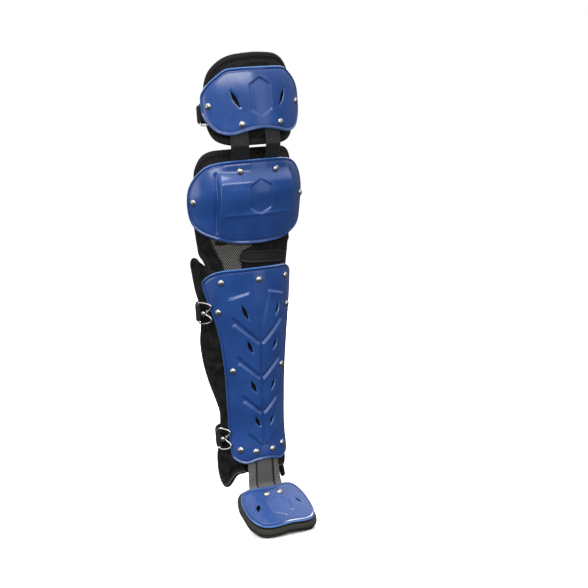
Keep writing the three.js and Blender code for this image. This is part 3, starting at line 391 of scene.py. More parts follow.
def ballistic_nylon(name, tape_dark, tape_pale):
    material, tree, shader = new_finish(
        name, IOR=1.5, Roughness=0.8, Sheen_Weight=0.02, Sheen_Roughness=0.4,
        Specular_IOR_Level=0.16)
    place = add(tree, "UVMap", uv_map="flat_mm")["UV"]
    edge = add(tree, "Attribute", attribute_name="edge")["Fac"]
    weave = plain_weave(tree, place, 1.9)
    # The bead tops are painted grey: a painted highlight where light would rake the weave
    bead = add(tree, "MapRange", [weave, -0.6, 0.9])["Result"]
    base = add(tree, "Mix", {0: bead, 6: srgb("040404"), 7: srgb("171717")}, **COLOURS)[2]
    # Dust and wear in patches about 12 mm across
    dust = add(tree, "TexNoise", {"Vector": place, "Scale": 1 / 12, "Detail": 6.0})["Fac"]
    dusty = add(tree, "MapRange", [dust, 0.42, 0.72, 0.0, 0.6])["Result"]
    base = add(tree, "Mix", {0: dusty, 6: base, 7: srgb("2a2826")}, **COLOURS)[2]
    # The tape's ribs run along the edge, 1.5 mm apart, with painted highlights on their crests;
    # the seam beside it is painted dark, a painted shade
    rib = ribs(tree, edge, 1.5)
    lit = add(tree, "MapRange", [rib, -1.0, 1.0])["Result"]
    tape = add(tree, "Mix", {0: lit, 6: srgb(tape_dark), 7: srgb(tape_pale)}, **COLOURS)[2]
    on_tape = add(tree, "MapRange", [edge, 6.8, 7.8, 0.8, 0.0], **SOFT)["Result"]
    base = add(tree, "Mix", {0: on_tape, 6: base, 7: tape}, **COLOURS)[2]
    near = add(tree, "MapRange", [edge, 7.4, 8.6], **SOFT)["Result"]
    gone = add(tree, "MapRange", [edge, 9.4, 11.0, 0.85, 0.0], **SOFT)["Result"]
    seam = add(tree, "Math", [near, gone], operation="MULTIPLY")[0]
    base = add(tree, "Mix", {0: seam, 6: base, 7: srgb("020202")}, **COLOURS)[2]
    rough = add(tree, "MapRange", [dust, 0.3, 0.8, 0.68, 0.88])["Result"]
    height = add(tree, "Mix", {0: on_tape, 2: weave, 3: rib}, data_type="FLOAT")[0]
    bump = add(tree, "Bump", {"Height": height, "Strength": 0.5, "Distance": 0.35 * MM})
    feed(tree, shader, {"Base Color": base, "Roughness": rough, "Normal": bump["Normal"]})
    return material


NYLON = ballistic_nylon("nylon_woven_black", "0c0c0d", "2e2e2f")
TOE_NYLON = ballistic_nylon("nylon_woven_black_grey_bound", "262523", "4a4943")
print("made", NYLON.name, "with", len(NYLON.node_tree.nodes), "nodes, and", TOE_NYLON.name)

# %% [markdown]
# Below the knee a panel of spacer mesh is let into the skirt: a knitted net of thin grey threads
# over a black ground, with diamond holes. The real net repeats every 2.3 mm and is drawn at
# 3.2 mm so that its threads still show. Two sets of slanting ribs crossing make the diamonds.

# %% Spacer mesh
def spacer_mesh():
    material, tree, shader = new_finish(
        "polyester_knitted_mesh_grey", IOR=1.54, Roughness=0.7, Specular_IOR_Level=0.2)
    parts = add(tree, "SeparateXYZ", [add(tree, "UVMap", uv_map="flat_mm")["UV"]])
    rising = add(tree, "Math", [parts["Y"], 0.8, parts["X"]], operation="MULTIPLY_ADD")[0]
    falling = add(tree, "Math", [parts["Y"], -0.8, parts["X"]], operation="MULTIPLY_ADD")[0]
    one, other = ribs(tree, rising, 3.2), ribs(tree, falling, 3.2)
    thread = add(tree, "Math", [one, other], operation="MAXIMUM")[0]
    lit = add(tree, "MapRange", [thread, 0.35, 0.85])["Result"]
    base = add(tree, "Mix", {0: lit, 6: srgb("0a0a0a"), 7: srgb("74746f")}, **COLOURS)[2]
    bump = add(tree, "Bump", {"Height": thread, "Strength": 0.8, "Distance": 0.5 * MM})
    feed(tree, shader, {"Base Color": base, "Normal": bump["Normal"]})
    return material


MESH = spacer_mesh()
print("made", MESH.name)

# %% [markdown]
# Piping is a cord covered with shiny black vinyl. The cover is drawn tight by its seam, so it
# shows fine creases. Sewing thread is bonded nylon, a smooth twist that shines a little more
# than the cloth it holds. Both are thin, so a noise in space is enough: Object coordinates are
# in metres, and 500 of them to a metre is a crease every 2 mm.

# %% Vinyl cord and sewing thread
def fine_noise(name, per_metre, dark, pale, **sockets):
    """A finish with fine specks or creases for a thin round thing."""
    material, tree, shader = new_finish(name, **sockets)
    place = add(tree, "TexCoord")["Object"]
    crease = add(tree, "TexNoise", {"Vector": place, "Scale": per_metre, "Detail": 2.0})["Fac"]
    share = add(tree, "MapRange", [crease, 0.3, 0.7])["Result"]
    base = add(tree, "Mix", {0: share, 6: srgb(dark), 7: srgb(pale)}, **COLOURS)[2]
    bump = add(tree, "Bump", {"Height": crease, "Strength": 0.3, "Distance": 0.2 * MM})
    feed(tree, shader, {"Base Color": base, "Normal": bump["Normal"]})
    return material


CORD = fine_noise("vinyl_covered_cord_black", 500.0, "08080a", "1c1c1e", IOR=1.53, Roughness=0.22)
THREAD_BLACK = fine_noise("nylon_thread_black", 900.0, "202021", "38383a", IOR=1.53, Roughness=0.5)
THREAD_GREY = fine_noise("nylon_thread_grey", 900.0, "74746f", "98988f", IOR=1.53, Roughness=0.5)
print("made", CORD.name, THREAD_BLACK.name, THREAD_GREY.name)

# %% [markdown]
# Straps are webbing: polyester yarn woven so densely that its lengthwise ribs stand up like
# cord. It is a touch greyer than the lining. The elastic ones have finer ribs and rubber threads
# that pull the surface into tiny cross ripples. Ribs 2.2 mm apart for webbing and 1.6 mm for
# elastic are a little coarser than life, to show.

# %% Webbing and elastic
def ribbed_band(name, rib, cross, dark, pale, rough, depth):
    material, tree, shader = new_finish(
        name, IOR=1.54, Roughness=rough, Sheen_Weight=0.05, Sheen_Roughness=0.5, Specular_IOR_Level=0.2)
    place = add(tree, "UVMap", uv_map="flat_mm")["UV"]
    parts = add(tree, "SeparateXYZ", [place])
    lengthwise, ripples = ribs(tree, parts["X"], rib), ribs(tree, parts["Y"], cross)
    height = add(tree, "Math", [ripples, 0.45, lengthwise], operation="MULTIPLY_ADD")[0]
    # Rib crests are painted paler and hollows darker: painted highlight and shade on the ribs
    lit = add(tree, "MapRange", [height, -1.1, 1.3])["Result"]
    base = add(tree, "Mix", {0: lit, 6: srgb(dark), 7: srgb(pale)}, **COLOURS)[2]
    # Worn, greyer patches about 9 mm across
    wear = add(tree, "TexNoise", {"Vector": place, "Scale": 1 / 9, "Detail": 5.0})["Fac"]
    worn = add(tree, "MapRange", [wear, 0.5, 0.8, 0.0, 0.3])["Result"]
    base = add(tree, "Mix", {0: worn, 6: base, 7: srgb("4a4946")}, **COLOURS)[2]
    bump = add(tree, "Bump", {"Height": height, "Strength": 0.55, "Distance": depth * MM})
    feed(tree, shader, {"Base Color": base, "Normal": bump["Normal"]})
    return material


WEBBING = ribbed_band("polyester_webbing_black", 2.2, 1.5, "161616", "343433", 0.7, 0.4)
ELASTIC = ribbed_band("elastic_knitted_black", 1.6, 2.4, "0f0f10", "29292a", 0.78, 0.35)
print("made", WEBBING.name, ELASTIC.name)

# %% [markdown]
# The instep strap is softer: grey polyester with a smooth middle lane and, on both sides of it,
# lanes of a flecked knit. One measure decides which is which, the distance from the middle.

# %% Flecked grey strap
LANE = 12.5


def flecked_strap():
    material, tree, shader = new_finish(
        "polyester_knitted_grey", IOR=1.54, Roughness=0.8, Sheen_Weight=0.05, Specular_IOR_Level=0.2)
    place = add(tree, "UVMap", uv_map="flat_mm")["UV"]
    parts = add(tree, "SeparateXYZ", [place])
    weave = plain_weave(tree, place, 1.7)
    # The middle lane's weave beads are painted paler: a painted highlight on the weave
    lit = add(tree, "MapRange", [weave, -1.0, 1.0])["Result"]
    middle = add(tree, "Mix", {0: lit, 6: srgb("4c4b4c"), 7: srgb("6a6866")}, **COLOURS)[2]
    # Flecks about 1.2 mm across, a little larger than life
    fleck = add(tree, "TexNoise", {"Vector": place, "Scale": 1 / 1.2, "Detail": 1.0})["Fac"]
    speck = add(tree, "MapRange", [fleck, 0.4, 0.6])["Result"]
    sides = add(tree, "Mix", {0: speck, 6: srgb("2c2b2b"), 7: srgb("827f7a")}, **COLOURS)[2]
    far = add(tree, "Math", [parts["X"]], operation="ABSOLUTE")[0]
    outer = add(tree, "MapRange", [far, LANE - 0.4, LANE + 0.4])["Result"]
    base = add(tree, "Mix", {0: outer, 6: middle, 7: sides}, **COLOURS)[2]
    # The seam between two lanes is pulled in and painted dark as painted shade, 2 mm wide
    off_seam = add(tree, "Math", [far, -LANE], operation="ADD")[0]
    beside = add(tree, "Math", [off_seam], operation="ABSOLUTE")[0]
    seam = add(tree, "MapRange", [beside, 0.7, 1.8, 0.9, 0.0], **SOFT)["Result"]
    base = add(tree, "Mix", {0: seam, 6: base, 7: srgb("0b0b0b")}, **COLOURS)[2]
    height = add(tree, "Mix", {0: outer, 2: weave, 3: fleck}, data_type="FLOAT")[0]
    bump = add(tree, "Bump", {"Height": height, "Strength": 0.5, "Distance": 0.4 * MM})
    feed(tree, shader, {"Base Color": base, "Normal": bump["Normal"]})
    return material


INSTEP = flecked_strap()
print("made", INSTEP.name)

# %% [markdown]
# The clips are bent from nickel-plated steel wire and the rivets are nickel-plated steel too.
# A metal is all reflection: metallic is 1, the colour is the metal's own tint, and plating that
# has been handled keeps a mirror shine with small dull patches, about 3 mm across here.

# %% Nickel-plated steel
def plated_steel(name, tint, shiny, dull):
    material, tree, shader = new_finish(name, Metallic=1.0, Base_Color=srgb(tint))
    place = add(tree, "TexCoord")["Object"]
    patch = add(tree, "TexNoise", {"Vector": place, "Scale": 330.0, "Detail": 4.0})["Fac"]
    gloss = add(tree, "MapRange", [patch, 0.4, 0.75, shiny, dull])["Result"]
    bump = add(tree, "Bump", {"Height": patch, "Strength": 0.08, "Distance": 0.1 * MM})
    feed(tree, shader, {"Roughness": gloss, "Normal": bump["Normal"]})
    return material


WIRE = plated_steel("steel_wire_nickel_plated", "c9c7c2", 0.14, 0.3)
RIVET = plated_steel("steel_rivet_nickel_plated", "b3b2af", 0.2, 0.38)
print("made", WIRE.name, RIVET.name)

# %% [markdown]
# The tag is moulded from soft rubber. Its mould was sand-blasted, which leaves a fine even grain
# that dulls the shine. The grain is under half a millimetre and is drawn at 1.5 mm.

# %% Moulded rubber
def moulded_rubber():
    material, tree, shader = new_finish(
        "rubber_moulded_black", IOR=1.52, Roughness=0.5, Specular_IOR_Level=0.35)
    place = add(tree, "UVMap", uv_map="flat_mm")["UV"]
    grain = add(tree, "TexNoise", {"Vector": place, "Scale": 1 / 1.5, "Detail": 3.0})["Fac"]
    share = add(tree, "MapRange", [grain, 0.3, 0.7])["Result"]
    base = add(tree, "Mix", {0: share, 6: srgb("0d0d0e"), 7: srgb("1d1d1f")}, **COLOURS)[2]
    rough = add(tree, "MapRange", [grain, 0.3, 0.8, 0.42, 0.6])["Result"]
    bump = add(tree, "Bump", {"Height": grain, "Strength": 0.15, "Distance": 0.15 * MM})
    feed(tree, shader, {"Base Color": base, "Roughness": rough, "Normal": bump["Normal"]})
    return material


RUBBER = moulded_rubber()
print("made", RUBBER.name)

# %% [markdown]
# Each plate and each pad is drawn flat as a grid inside an outline. The helpers below follow the
# grid's border once round, smooth its corners, because a mould has none, and say which way is
# outwards along an outline and how far each place is from it.

# %% Grid and outline
def flat_grid(outline, half, top, low, columns, rows):
    """A grid on a flat piece: its top and low edges are read from the outline's table."""
    u = np.linspace(-1, 1, columns)[None, :]
    v = np.linspace(0, 1, rows)[:, None]
    high = mix(low, top, through([(a, t) for a, t, _ in outline], np.abs(u)))
    deep = mix(low, top, through([(a, b) for a, _, b in outline], np.abs(u)))
    z = mix(deep, high, v)
    return u * half(z) + 0 * z, z


def border(rows, columns):
    """The grid's border as row and column numbers, once round."""
    number = np.arange(rows * columns).reshape(rows, columns)
    sides = number[0, :-1], number[:-1, -1], number[-1, :0:-1], number[:0:-1, 0]
    return np.divmod(np.concatenate(sides), columns)


def lengths(line):
    """How far along a line each of its points is."""
    return np.concatenate([[0], np.cumsum(np.linalg.norm(np.diff(line, axis=0), axis=1))])


def smooth_loop(loop, reach, count=1024):
    """A closed line with its corners rounded over about the given reach, in mm."""
    closed = np.vstack([loop, loop[:1]])
    length = lengths(closed)
    even = np.arange(count) / count * length[-1]
    wave = np.fft.rfftfreq(count, d=length[-1] / count)
    soft = np.exp(-0.5 * (2 * np.pi * wave * reach / 2) ** 2)
    result = []
    for k in (0, 1):
        line = np.fft.irfft(np.fft.rfft(np.interp(even, length, closed[:, k])) * soft, count)
        result.append(np.interp(length[:-1], even, line, period=length[-1]))
    return np.stack(result, -1)


def loop_normals(loop):
    way = np.roll(loop, -1, axis=0) - np.roll(loop, 1, axis=0)
    way /= np.linalg.norm(way, axis=1, keepdims=True) + 1e-9
    return np.stack([way[:, 1], -way[:, 0]], -1)


def find_tree(points):
    tree = KDTree(len(points))
    for k, point in enumerate(points):
        tree.insert((*point, 0)[:3], k)
    tree.balance()
    return tree


def nearest(loop, points):
    """For each point, the nearest place of the loop and how far it is."""
    tree = find_tree(loop)
    found = [tree.find((a, b, 0))[1:] for a, b in points]
    return np.array([f[0] for f in found]), np.array([f[1] for f in found])


print("a square with rounded corners:", np.round(smooth_loop(np.array(
    [[0, 0], [40, 0], [40, 40], [0, 40]], float), 6)[0], 1))

# %% [markdown]
# One shell carries the front with its raised and sunk forms, a rounded rim and a back. Its grid
# is pulled in by the rim's radius, and seven rings roll over the rim to the back.
# The pads use the same shell with a fatter rim, so the function takes the rim's radius.

# %% A shell on the bent surface
RIM_ANGLES = np.radians([25, 50, 75, 90, 105, 130, 155])
OUTLINES, SHELLS = {}, {}


def shell(name, surface, arc, z, front, back, rim, middle, corner=6.0):
    rows, columns = arc.shape
    r, c = border(rows, columns)
    loop = np.stack([arc[r, c], z[r, c]], -1)
    outline = smooth_loop(loop, corner)
    inner = outline - rim * loop_normals(outline)
    points = np.stack([arc.ravel(), z.ravel()], -1)
    index, far = nearest(loop, points)
    points = points + (inner - loop)[index] * ease(1 - far / (3 * rim + corner))[:, None]
    points.reshape(rows, columns, 2)[r, c] = inner
    fine = [mix(outline, np.roll(outline, -1, axis=0), t) for t in (0, 0.25, 0.5, 0.75)]
    edge = nearest(np.concatenate(fine), points)[1]
    layers = [(points, front(*points.T, edge), edge, np.ones(len(points)))]
    for angle in RIM_ANGLES:
        ring = inner + rim * math.sin(angle) * loop_normals(outline)
        lift = middle(*ring.T) + rim * math.cos(angle)
        layers.append((ring, lift, np.full(len(ring), rim * (1 - math.sin(angle))), np.zeros(len(ring))))
    layers.append((points, back(*points.T, edge), edge, -np.ones(len(points))))
    flat, lift, edges, side = (np.concatenate(part) for part in zip(*layers))
    grid = np.arange(len(points)).reshape(rows, columns)
    quads = np.stack([grid[:-1, :-1], grid[:-1, 1:], grid[1:, 1:], grid[1:, :-1]], -1).reshape(-1, 4)
    behind = len(flat) - len(points)
    faces = quads.tolist() + (quads[:, ::-1] + behind).tolist()
    rings = np.arange(len(points), behind).reshape(len(RIM_ANGLES), -1)
    loops = [grid[r, c], *rings, grid[r, c] + behind]
    for one, other in zip(loops, loops[1:]):
        faces += np.stack([one, other, np.roll(other, -1), np.roll(one, -1)], -1).tolist()
    OUTLINES[name] = outline
    SHELLS[name] = flat, edges, side
    return make_mesh(name, surface(*flat.T, lift), faces, flat, edges)


print("rings round a rim:", len(RIM_ANGLES))

# %% [markdown]
# Vents are slim leaf-shaped slots that let sweat out. Each leaf leans outwards at its top, and
# its front edge is rounded over a little, as plastic is where it shrinks round a mould's slide.

# %% Leaf-shaped vents
LEAF = np.array([(-0.15, 1), (0.75, 0.25), (1, -0.2), (0.7, -0.95),
                 (0.3, -1), (-0.6, -0.45), (-1, 0.1), (-0.7, 0.6)])
VENT_HALF = 3.25


def closed_curve(points, count, straight=0.0):
    """A smooth closed line through the points; straight blends plain straight pieces in."""
    p = [np.roll(points, s, axis=0)[:, None] for s in (1, 0, -1, -2)]
    t = (np.arange(count) / count)[:, None]
    bent = 0.5 * (2 * p[1] + (p[2] - p[0]) * t + (2 * p[0] - 5 * p[1] + 4 * p[2] - p[3]) * t * t
                  + (3 * p[1] - p[0] - 3 * p[2] + p[3]) * t ** 3)
    return mix(bent, mix(p[1], p[2], t), straight).reshape(-1, points.shape[1])


def leaf_line(arc, long, lean):
    """The leaf's outline round its middle, smoothed through its eight measured corners."""
    turn = math.radians(lean)
    x, y = (LEAF * (VENT_HALF, long / 2)).T
    corners = np.stack([x * math.cos(turn) - y * math.sin(turn), x * math.sin(turn) + y * math.cos(turn)], -1)
    corners[:, 0] *= -1 if arc > 0 else 1
    line = closed_curve(corners, 5, straight=0.5)
    return line if arc > 0 else line[::-1]


def leaf_rounding(vents, arc, z):
    """How far the front drops close to a vent's edge."""
    drop = np.zeros_like(arc)
    for place, level, long, lean in vents:
        close = np.hypot(arc - place, z - level) < long
        line = leaf_line(place, long, lean) + (place, level)
        far = nearest(line, np.stack([arc[close], z[close]], -1))[1]
        drop[close] -= 0.7 * np.clip(1 - far / 2.2, 0, 1) ** 2
    return drop


print("points round a vent:", len(leaf_line(1, 26, 20)))

# %% [markdown]
# A leaf-shaped punch is pushed through the finished shell with a boolean, the way a slide in the
# mould would leave the hole. The mould of a plate on the leg opens forwards, so the holes at its
# sides lean that way. The toe cap's are cut straight out of it.

# %% Punch the vents
FORWARD = (0, -0.8, 0)


def apply_all(piece):
    """Writes what the modifiers make into the mesh itself."""
    made = bpy.data.meshes.new_from_object(piece.evaluated_get(bpy.context.evaluated_depsgraph_get()))
    piece.modifiers.clear()
    piece.data = made


def punch(piece, surface, vents, pull):
    """pull is the way the mould opens; each hole leans between it and straight out."""
    points, faces = [], []
    for place, level, long, lean in vents:
        at, side, up, out = frame_at(surface, place, level)
        line = leaf_line(place, long, lean)
        hole = unit(out * 0.2 + pull)
        low = len(points) + np.arange(len(line))
        high = low + len(line)
        for lift in (-9, 9):
            points += [at + side * x + up * y + hole * lift for x, y in line]
        faces += [low[::-1].tolist(), high.tolist()] + between(low, high)
    tool = make_mesh(piece.name + "_punch", points, faces)
    cut = piece.modifiers.new("vents", "BOOLEAN")
    cut.operation, cut.solver, cut.object = "DIFFERENCE", "EXACT", tool
    apply_all(piece)
    bpy.data.objects.remove(tool)
    print(piece.name, "has", len(vents), "vents")


print("a leg plate's mould opens along", unit(FORWARD))

# %% [markdown]
# Three of the plates carry a six-sided panel, sunk into the face with pointed ends. It is a
# bare generic panel, and its bevelled edge catches the light on one side and drops into shade on
# the other. Round every plate runs a soft bead with a shallow gutter behind it.

# %% Panel, rim and plate
PLATES = {}


def sunk_panel(arc, z, middle, tall, sink=1.9, bevel=1.1):
    ends = (np.abs(z - middle) + 9 * np.abs(arc) / 15 - tall / 2) * 0.857
    outside = np.maximum(np.abs(arc) - 15, ends)
    return -sink * (1 - ease((outside + bevel) / (2 * bevel)))


def lip(edge):
    return 0.7 * np.exp(-((edge - 1.8) / 1.3) ** 2) - 0.45 * np.exp(-((edge - 4.4) / 1.2) ** 2)


def plate(name, surface, grid, relief, corner, vents=(), pull=FORWARD, roll=lambda arc, z: 0 * arc):
    """A plate of even thickness. relief gives its front's form and roll bends the whole plate."""
    def front(arc, z, edge):
        return roll(arc, z) + (relief(arc, z) + lip(edge) + leaf_rounding(vents, arc, z))

    piece = shell(f"{name}_plate_shell", surface, *grid, front, lambda arc, z, edge: roll(arc, z) - PLATE,
                  PLATE / 2, lambda arc, z: roll(arc, z) - PLATE / 2, corner)
    if vents:
        punch(piece, surface, vents, pull)
    PLATES[name] = surface, front
    own(piece, PLASTIC, "moulded_plastic", f"{name}_plate")


print("panel depth at its middle in mm:", sunk_panel(np.zeros(1), np.zeros(1), 0, 50)[0])

# %% [markdown]
# The thigh plate is a shallow shield with a notch at the middle of its low edge, which clears
# the knee plate when the leg bends. Two vents lean outwards beside its panel.

# %% Thigh plate
THIGH_OUTLINE = [(0, 1, 0.09), (0.25, 1, 0.055), (0.52, 0.995, 0.005), (0.7, 0.9, 0.04), (0.87, 0.78, 0.16),
                 (1, 0.64, 0.34)]
THIGH_VENTS = [(way * 0.42 * THIGH_HALF, mix(THIGH_LOW, THIGH_TOP, 0.54), 26, 21.5) for way in (-1, 1)]


def thigh_roll(arc, z):
    """The top third leans back a little, which is where the gloss shows."""
    return -3.0 * np.clip((z - 143) / 36, 0, 1) ** 2


def thigh_relief(arc, z):
    return sunk_panel(arc, z, mix(THIGH_LOW, THIGH_TOP, 0.55), 52)


plate("thigh", on_thigh, flat_grid(THIGH_OUTLINE, lambda z: THIGH_HALF, THIGH_TOP, THIGH_LOW, 150, 76),
      thigh_relief, 9, THIGH_VENTS, roll=thigh_roll)
print("thigh plate:", THIGH_TOP - THIGH_LOW, "mm tall")

# %% [markdown]
# The knee plate is the widest. Its front is a low dome between two creases, and the dome falls
# back to the low edge from a shelf about a third of the way up. It has a panel and no vents.

# %% Knee plate
KNEE_OUTLINE = [(0, 1, 0), (0.3, 1, 0.02), (0.5, 0.99, 0.065), (0.67, 0.965, 0.12), (0.83, 0.87, 0.2),
                (0.93, 0.77, 0.31), (1, 0.65, 0.51)]
DOME, DOME_HALF, SHELF = 6.5, 52, -17
CREASE, LEDGE = 1.8, 0.8


def knee_roll(arc, z):
    """The upper corners lean back beside the webbing."""
    return -4.4 * np.clip((z - 18) / 38, 0, 1) ** 2 * ease((np.abs(arc) - 38) / 22)


def knee_relief(arc, z):
    across = 1 - ease((np.abs(arc) - DOME_HALF) / 7)
    above = 1 - ease((z - mix(KNEE_LOW, KNEE_TOP, 0.72)) / 19)
    below = np.clip((z - KNEE_LOW - 6) / (SHELF - KNEE_LOW - 6), 0, 1)
    upright = ease((z + 48) / 14) * (1 - ease((z - 36) / 8))
    crease = -CREASE * np.exp(-((np.abs(arc) - DOME_HALF - 8) / 2.0) ** 2) * upright
    ledge = LEDGE * np.exp(-((z - SHELF) / 2.2) ** 2) * (1 - ease((np.abs(arc) - 42) / 8))
    panel = sunk_panel(arc, z, mix(KNEE_LOW, KNEE_TOP, 0.56), 48)
    return DOME * across * above * below + crease + ledge + panel


plate("knee", on_leg, flat_grid(KNEE_OUTLINE, lambda z: KNEE_HALF, KNEE_TOP, KNEE_LOW, 190, 104),
      knee_relief, 12, roll=knee_roll)
print("knee plate:", KNEE_TOP - KNEE_LOW, "mm tall, with a dome of", DOME, "mm")

# %% [markdown]
# The shin plate is the long one. Down its middle runs a narrow channel that opens into a funnel
# at the top, and on both sides lie scales whose ends slant up and outwards, parted by grooves.
# Each scale drops sharply into its groove and the next one rises from it with a wider bevel,
# which is what draws the dark and bright lines of the herringbone.

# %% Shin plate
SHIN_OUTLINE = [(0, 0, 0.982), (0.25, 0.001, 0.985), (0.55, 0.003, 1), (0.67, 0.008, 0.995),
                (0.85, 0.028, 0.982), (1, 0.062, 0.96)]
SHIN_WIDTHS = [(0.06, 1), (0.17, 0.875), (0.27, 0.75), (0.4, 0.66), (0.56, 0.605), (0.77, 0.585),
               (0.97, 0.575)]
SHIN_TALL = SHIN_TOP - SHIN_LOW
VENT_ROWS = [(0.218, 0.3, 1), (0.396, 0.23, 0.87), (0.602, 0.18, 0.83), (0.784, 0.132, 0.7)]
SHIN_VENTS = [(way * a * SHIN_HALF + 3.6, SHIN_TOP - down * SHIN_TALL, long * 23, 18)
              for down, a, long in VENT_ROWS for way in (-1, 1)]
SCALE, SCALES, GROOVE, PITCH = 2.5, 4, 104, 50
DROP, RISE = 1.6, 3.0


def down_shin(z):
    return (SHIN_TOP - z) / SHIN_TALL


def shin_half(z):
    return SHIN_HALF * through(SHIN_WIDTHS, down_shin(z))


def scales(arc, z):
    """Height of the herringbone of scales."""
    a, depth, down = np.abs(arc), SHIN_TOP - z, down_shin(z)
    outer = SHIN_HALF * mix(0.47, 0.21, np.clip((down - 0.12) / 0.74, 0, 1))
    inner = mix(14, 1.2, ease((down - 0.1) / 0.24))
    reach = np.clip(np.minimum(a, outer) - 3.8, 0, None)
    across = np.clip((a - inner) / 1.9, 0, 1) * (1 - ease((a - outer) / 6))
    along = np.clip((depth - 0.25 * np.minimum(a, outer) - 29) / RISE, 0, 1)
    slanted = depth + 0.95 * reach
    floor = mix(1.4, 3.2, np.clip(reach / 26, 0, 1))
    for k in range(SCALES):
        past = slanted - (GROOVE + k * PITCH)
        drop = np.clip((-past - floor) / DROP, 0, 1)
        rise = np.clip((past - floor) / RISE, 0, 1) if k < SCALES - 1 else np.zeros_like(past)
        along = along * np.where(past < 0, drop, rise)
    return SCALE * across * along


shin_edges = [(a, 1 - t, 1 - b) for a, t, b in SHIN_OUTLINE]
plate("shin", on_leg, flat_grid(shin_edges, shin_half, SHIN_TOP, SHIN_LOW, 150, 240), scales, 8, SHIN_VENTS)
print("shin plate:", SHIN_TALL, "mm tall, with", SCALES, "pairs of scales")

# %% [markdown]
# The toe cap is a small rounded shield over the laces, on its own sloping surface. It has two
# short vents that lean the other way, and a panel.

# %% Toe plate
TOE_OUTLINE = [(0, -0.18, 0.8), (0.3, -0.21, 0.8), (0.55, -0.27, 0.77), (0.76, -0.28, 0.69),
               (0.9, -0.2, 0.55), (1, 0, 0.34)]
TOE_VENTS = [(way * 0.63 * TOE_HALF, -0.22 * TOE_LONG, 14, -40) for way in (-1, 1)]


def toe_grid(half, margin, columns, rows):
    u = np.linspace(-1, 1, columns)[None, :]
    v = np.linspace(0, 1, rows)[:, None]
    behind = TOE_LONG * through([(a, b) for a, b, _ in TOE_OUTLINE], np.abs(u)) - margin
    ahead = TOE_LONG * through([(a, f) for a, _, f in TOE_OUTLINE], np.abs(u)) + margin
    return u * half + 0 * v, -mix(ahead, behind, v)


def toe_relief(arc, z):
    return sunk_panel(arc, z, -0.33 * TOE_LONG, 34)


plate("toe", on_toe, toe_grid(TOE_HALF, 0, 96, 68), toe_relief, 9, TOE_VENTS, pull=(0, 0, 0))
print("toe plate:", 2 * TOE_HALF, "mm wide")

# %% [markdown]
# A sewn pad isn't a smooth pillow. The foam pushes its cloth out between the seams, and the
# cloth puckers where it is held. Carved by hand that looks carved, so the cloth is simulated: a
# copy of the pad is rebuilt from even squares, its binding is pinned, air pressure blows it up
# for twenty frames without gravity, and how far each point moved is carried over to the fine
# pad. First come the two helpers that say where cloth is free to move.

# %% Where cloth is free
def inside(line, points):
    """Whether each flat point lies inside a closed line."""
    (x, y), crossed = points.T, np.zeros(len(points), int)
    for (x0, y0), (x1, y1) in zip(line, np.roll(line, -1, axis=0)):
        if y0 != y1:
            crossed += ((y0 > y) != (y1 > y)) & (x < (x1 - x0) * (y - y0) / (y1 - y0) + x0)
    return crossed % 2 == 1


def clear_of_plate(name, points):
    """0 under a plate, rising to 1 at 6 mm outside its outline."""
    outline = OUTLINES[f"{name}_plate_shell"]
    return np.where(inside(outline, points), 0, ease(nearest(outline, points)[1] / 6))


print("the middle of the thigh is clear of its plate:", clear_of_plate("thigh", np.array([[0, 130.0]])))

# %% [markdown]
# Voxel remeshing gives the even squares that cloth needs. The pins are a vertex group: 1 on the
# binding and its seam, 0 inside. Cloth that is 6% larger than the pad has something to pucker
# with. The modifier is thrown away with the copy, so only the moved points are left.

# %% Blow up a pad
SQUARES, SWELL_FRAMES = 5.0, 20
SEAM_IN = 9.0


def places(mesh):
    """The points of a mesh, in mm."""
    flat = np.zeros(len(mesh.vertices) * 3)
    mesh.vertices.foreach_get("co", flat)
    return flat.reshape(-1, 3) / MM


def blown_up(piece, edge):
    """The rebuilt pad's points at rest, and how far its cloth moves each of them, in mm."""
    copy = bpy.data.objects.new(piece.name + "_cloth", piece.data.copy())
    bpy.context.collection.objects.link(copy)
    even = copy.modifiers.new("even", "REMESH")
    even.mode, even.voxel_size = "VOXEL", SQUARES * MM
    apply_all(copy)
    closest, rest = find_tree(places(piece.data)), places(copy.data)
    pinned = copy.vertex_groups.new(name="binding")
    for k, point in enumerate(rest):
        held = 1 - float(ease((edge[closest.find(point)[1]] - SEAM_IN + 0.5) / 4))
        pinned.add([k], held, "REPLACE")
    cloth = copy.modifiers.new("cloth", "CLOTH")
    settings = cloth.settings
    settings.quality = 6
    settings.use_pressure, settings.uniform_pressure_force = True, 4.0
    settings.shrink_min = -0.06
    settings.vertex_group_mass = "binding"
    settings.effector_weights.gravity = 0
    cloth.point_cache.frame_start, cloth.point_cache.frame_end = 1, SWELL_FRAMES
    for number in range(1, SWELL_FRAMES + 1):
        bpy.context.scene.frame_set(number)
    moved = places(copy.evaluated_get(bpy.context.evaluated_depsgraph_get()).data) - rest
    bpy.data.objects.remove(copy)
    bpy.context.scene.frame_set(1)
    return rest, moved


print("cloth squares of", SQUARES, "mm, blown up for", SWELL_FRAMES, "frames")

# %% [markdown]
# The fine pad follows the coarse cloth: each of its points moves like the four nearest squares'
# corners, the nearer the more, and never further than real foam would push the cloth. Where a
# plate or a strap presses on the pad, and on the binding, nothing moves.

# %% Carry the moves over
MOST_MOVE = 2.6


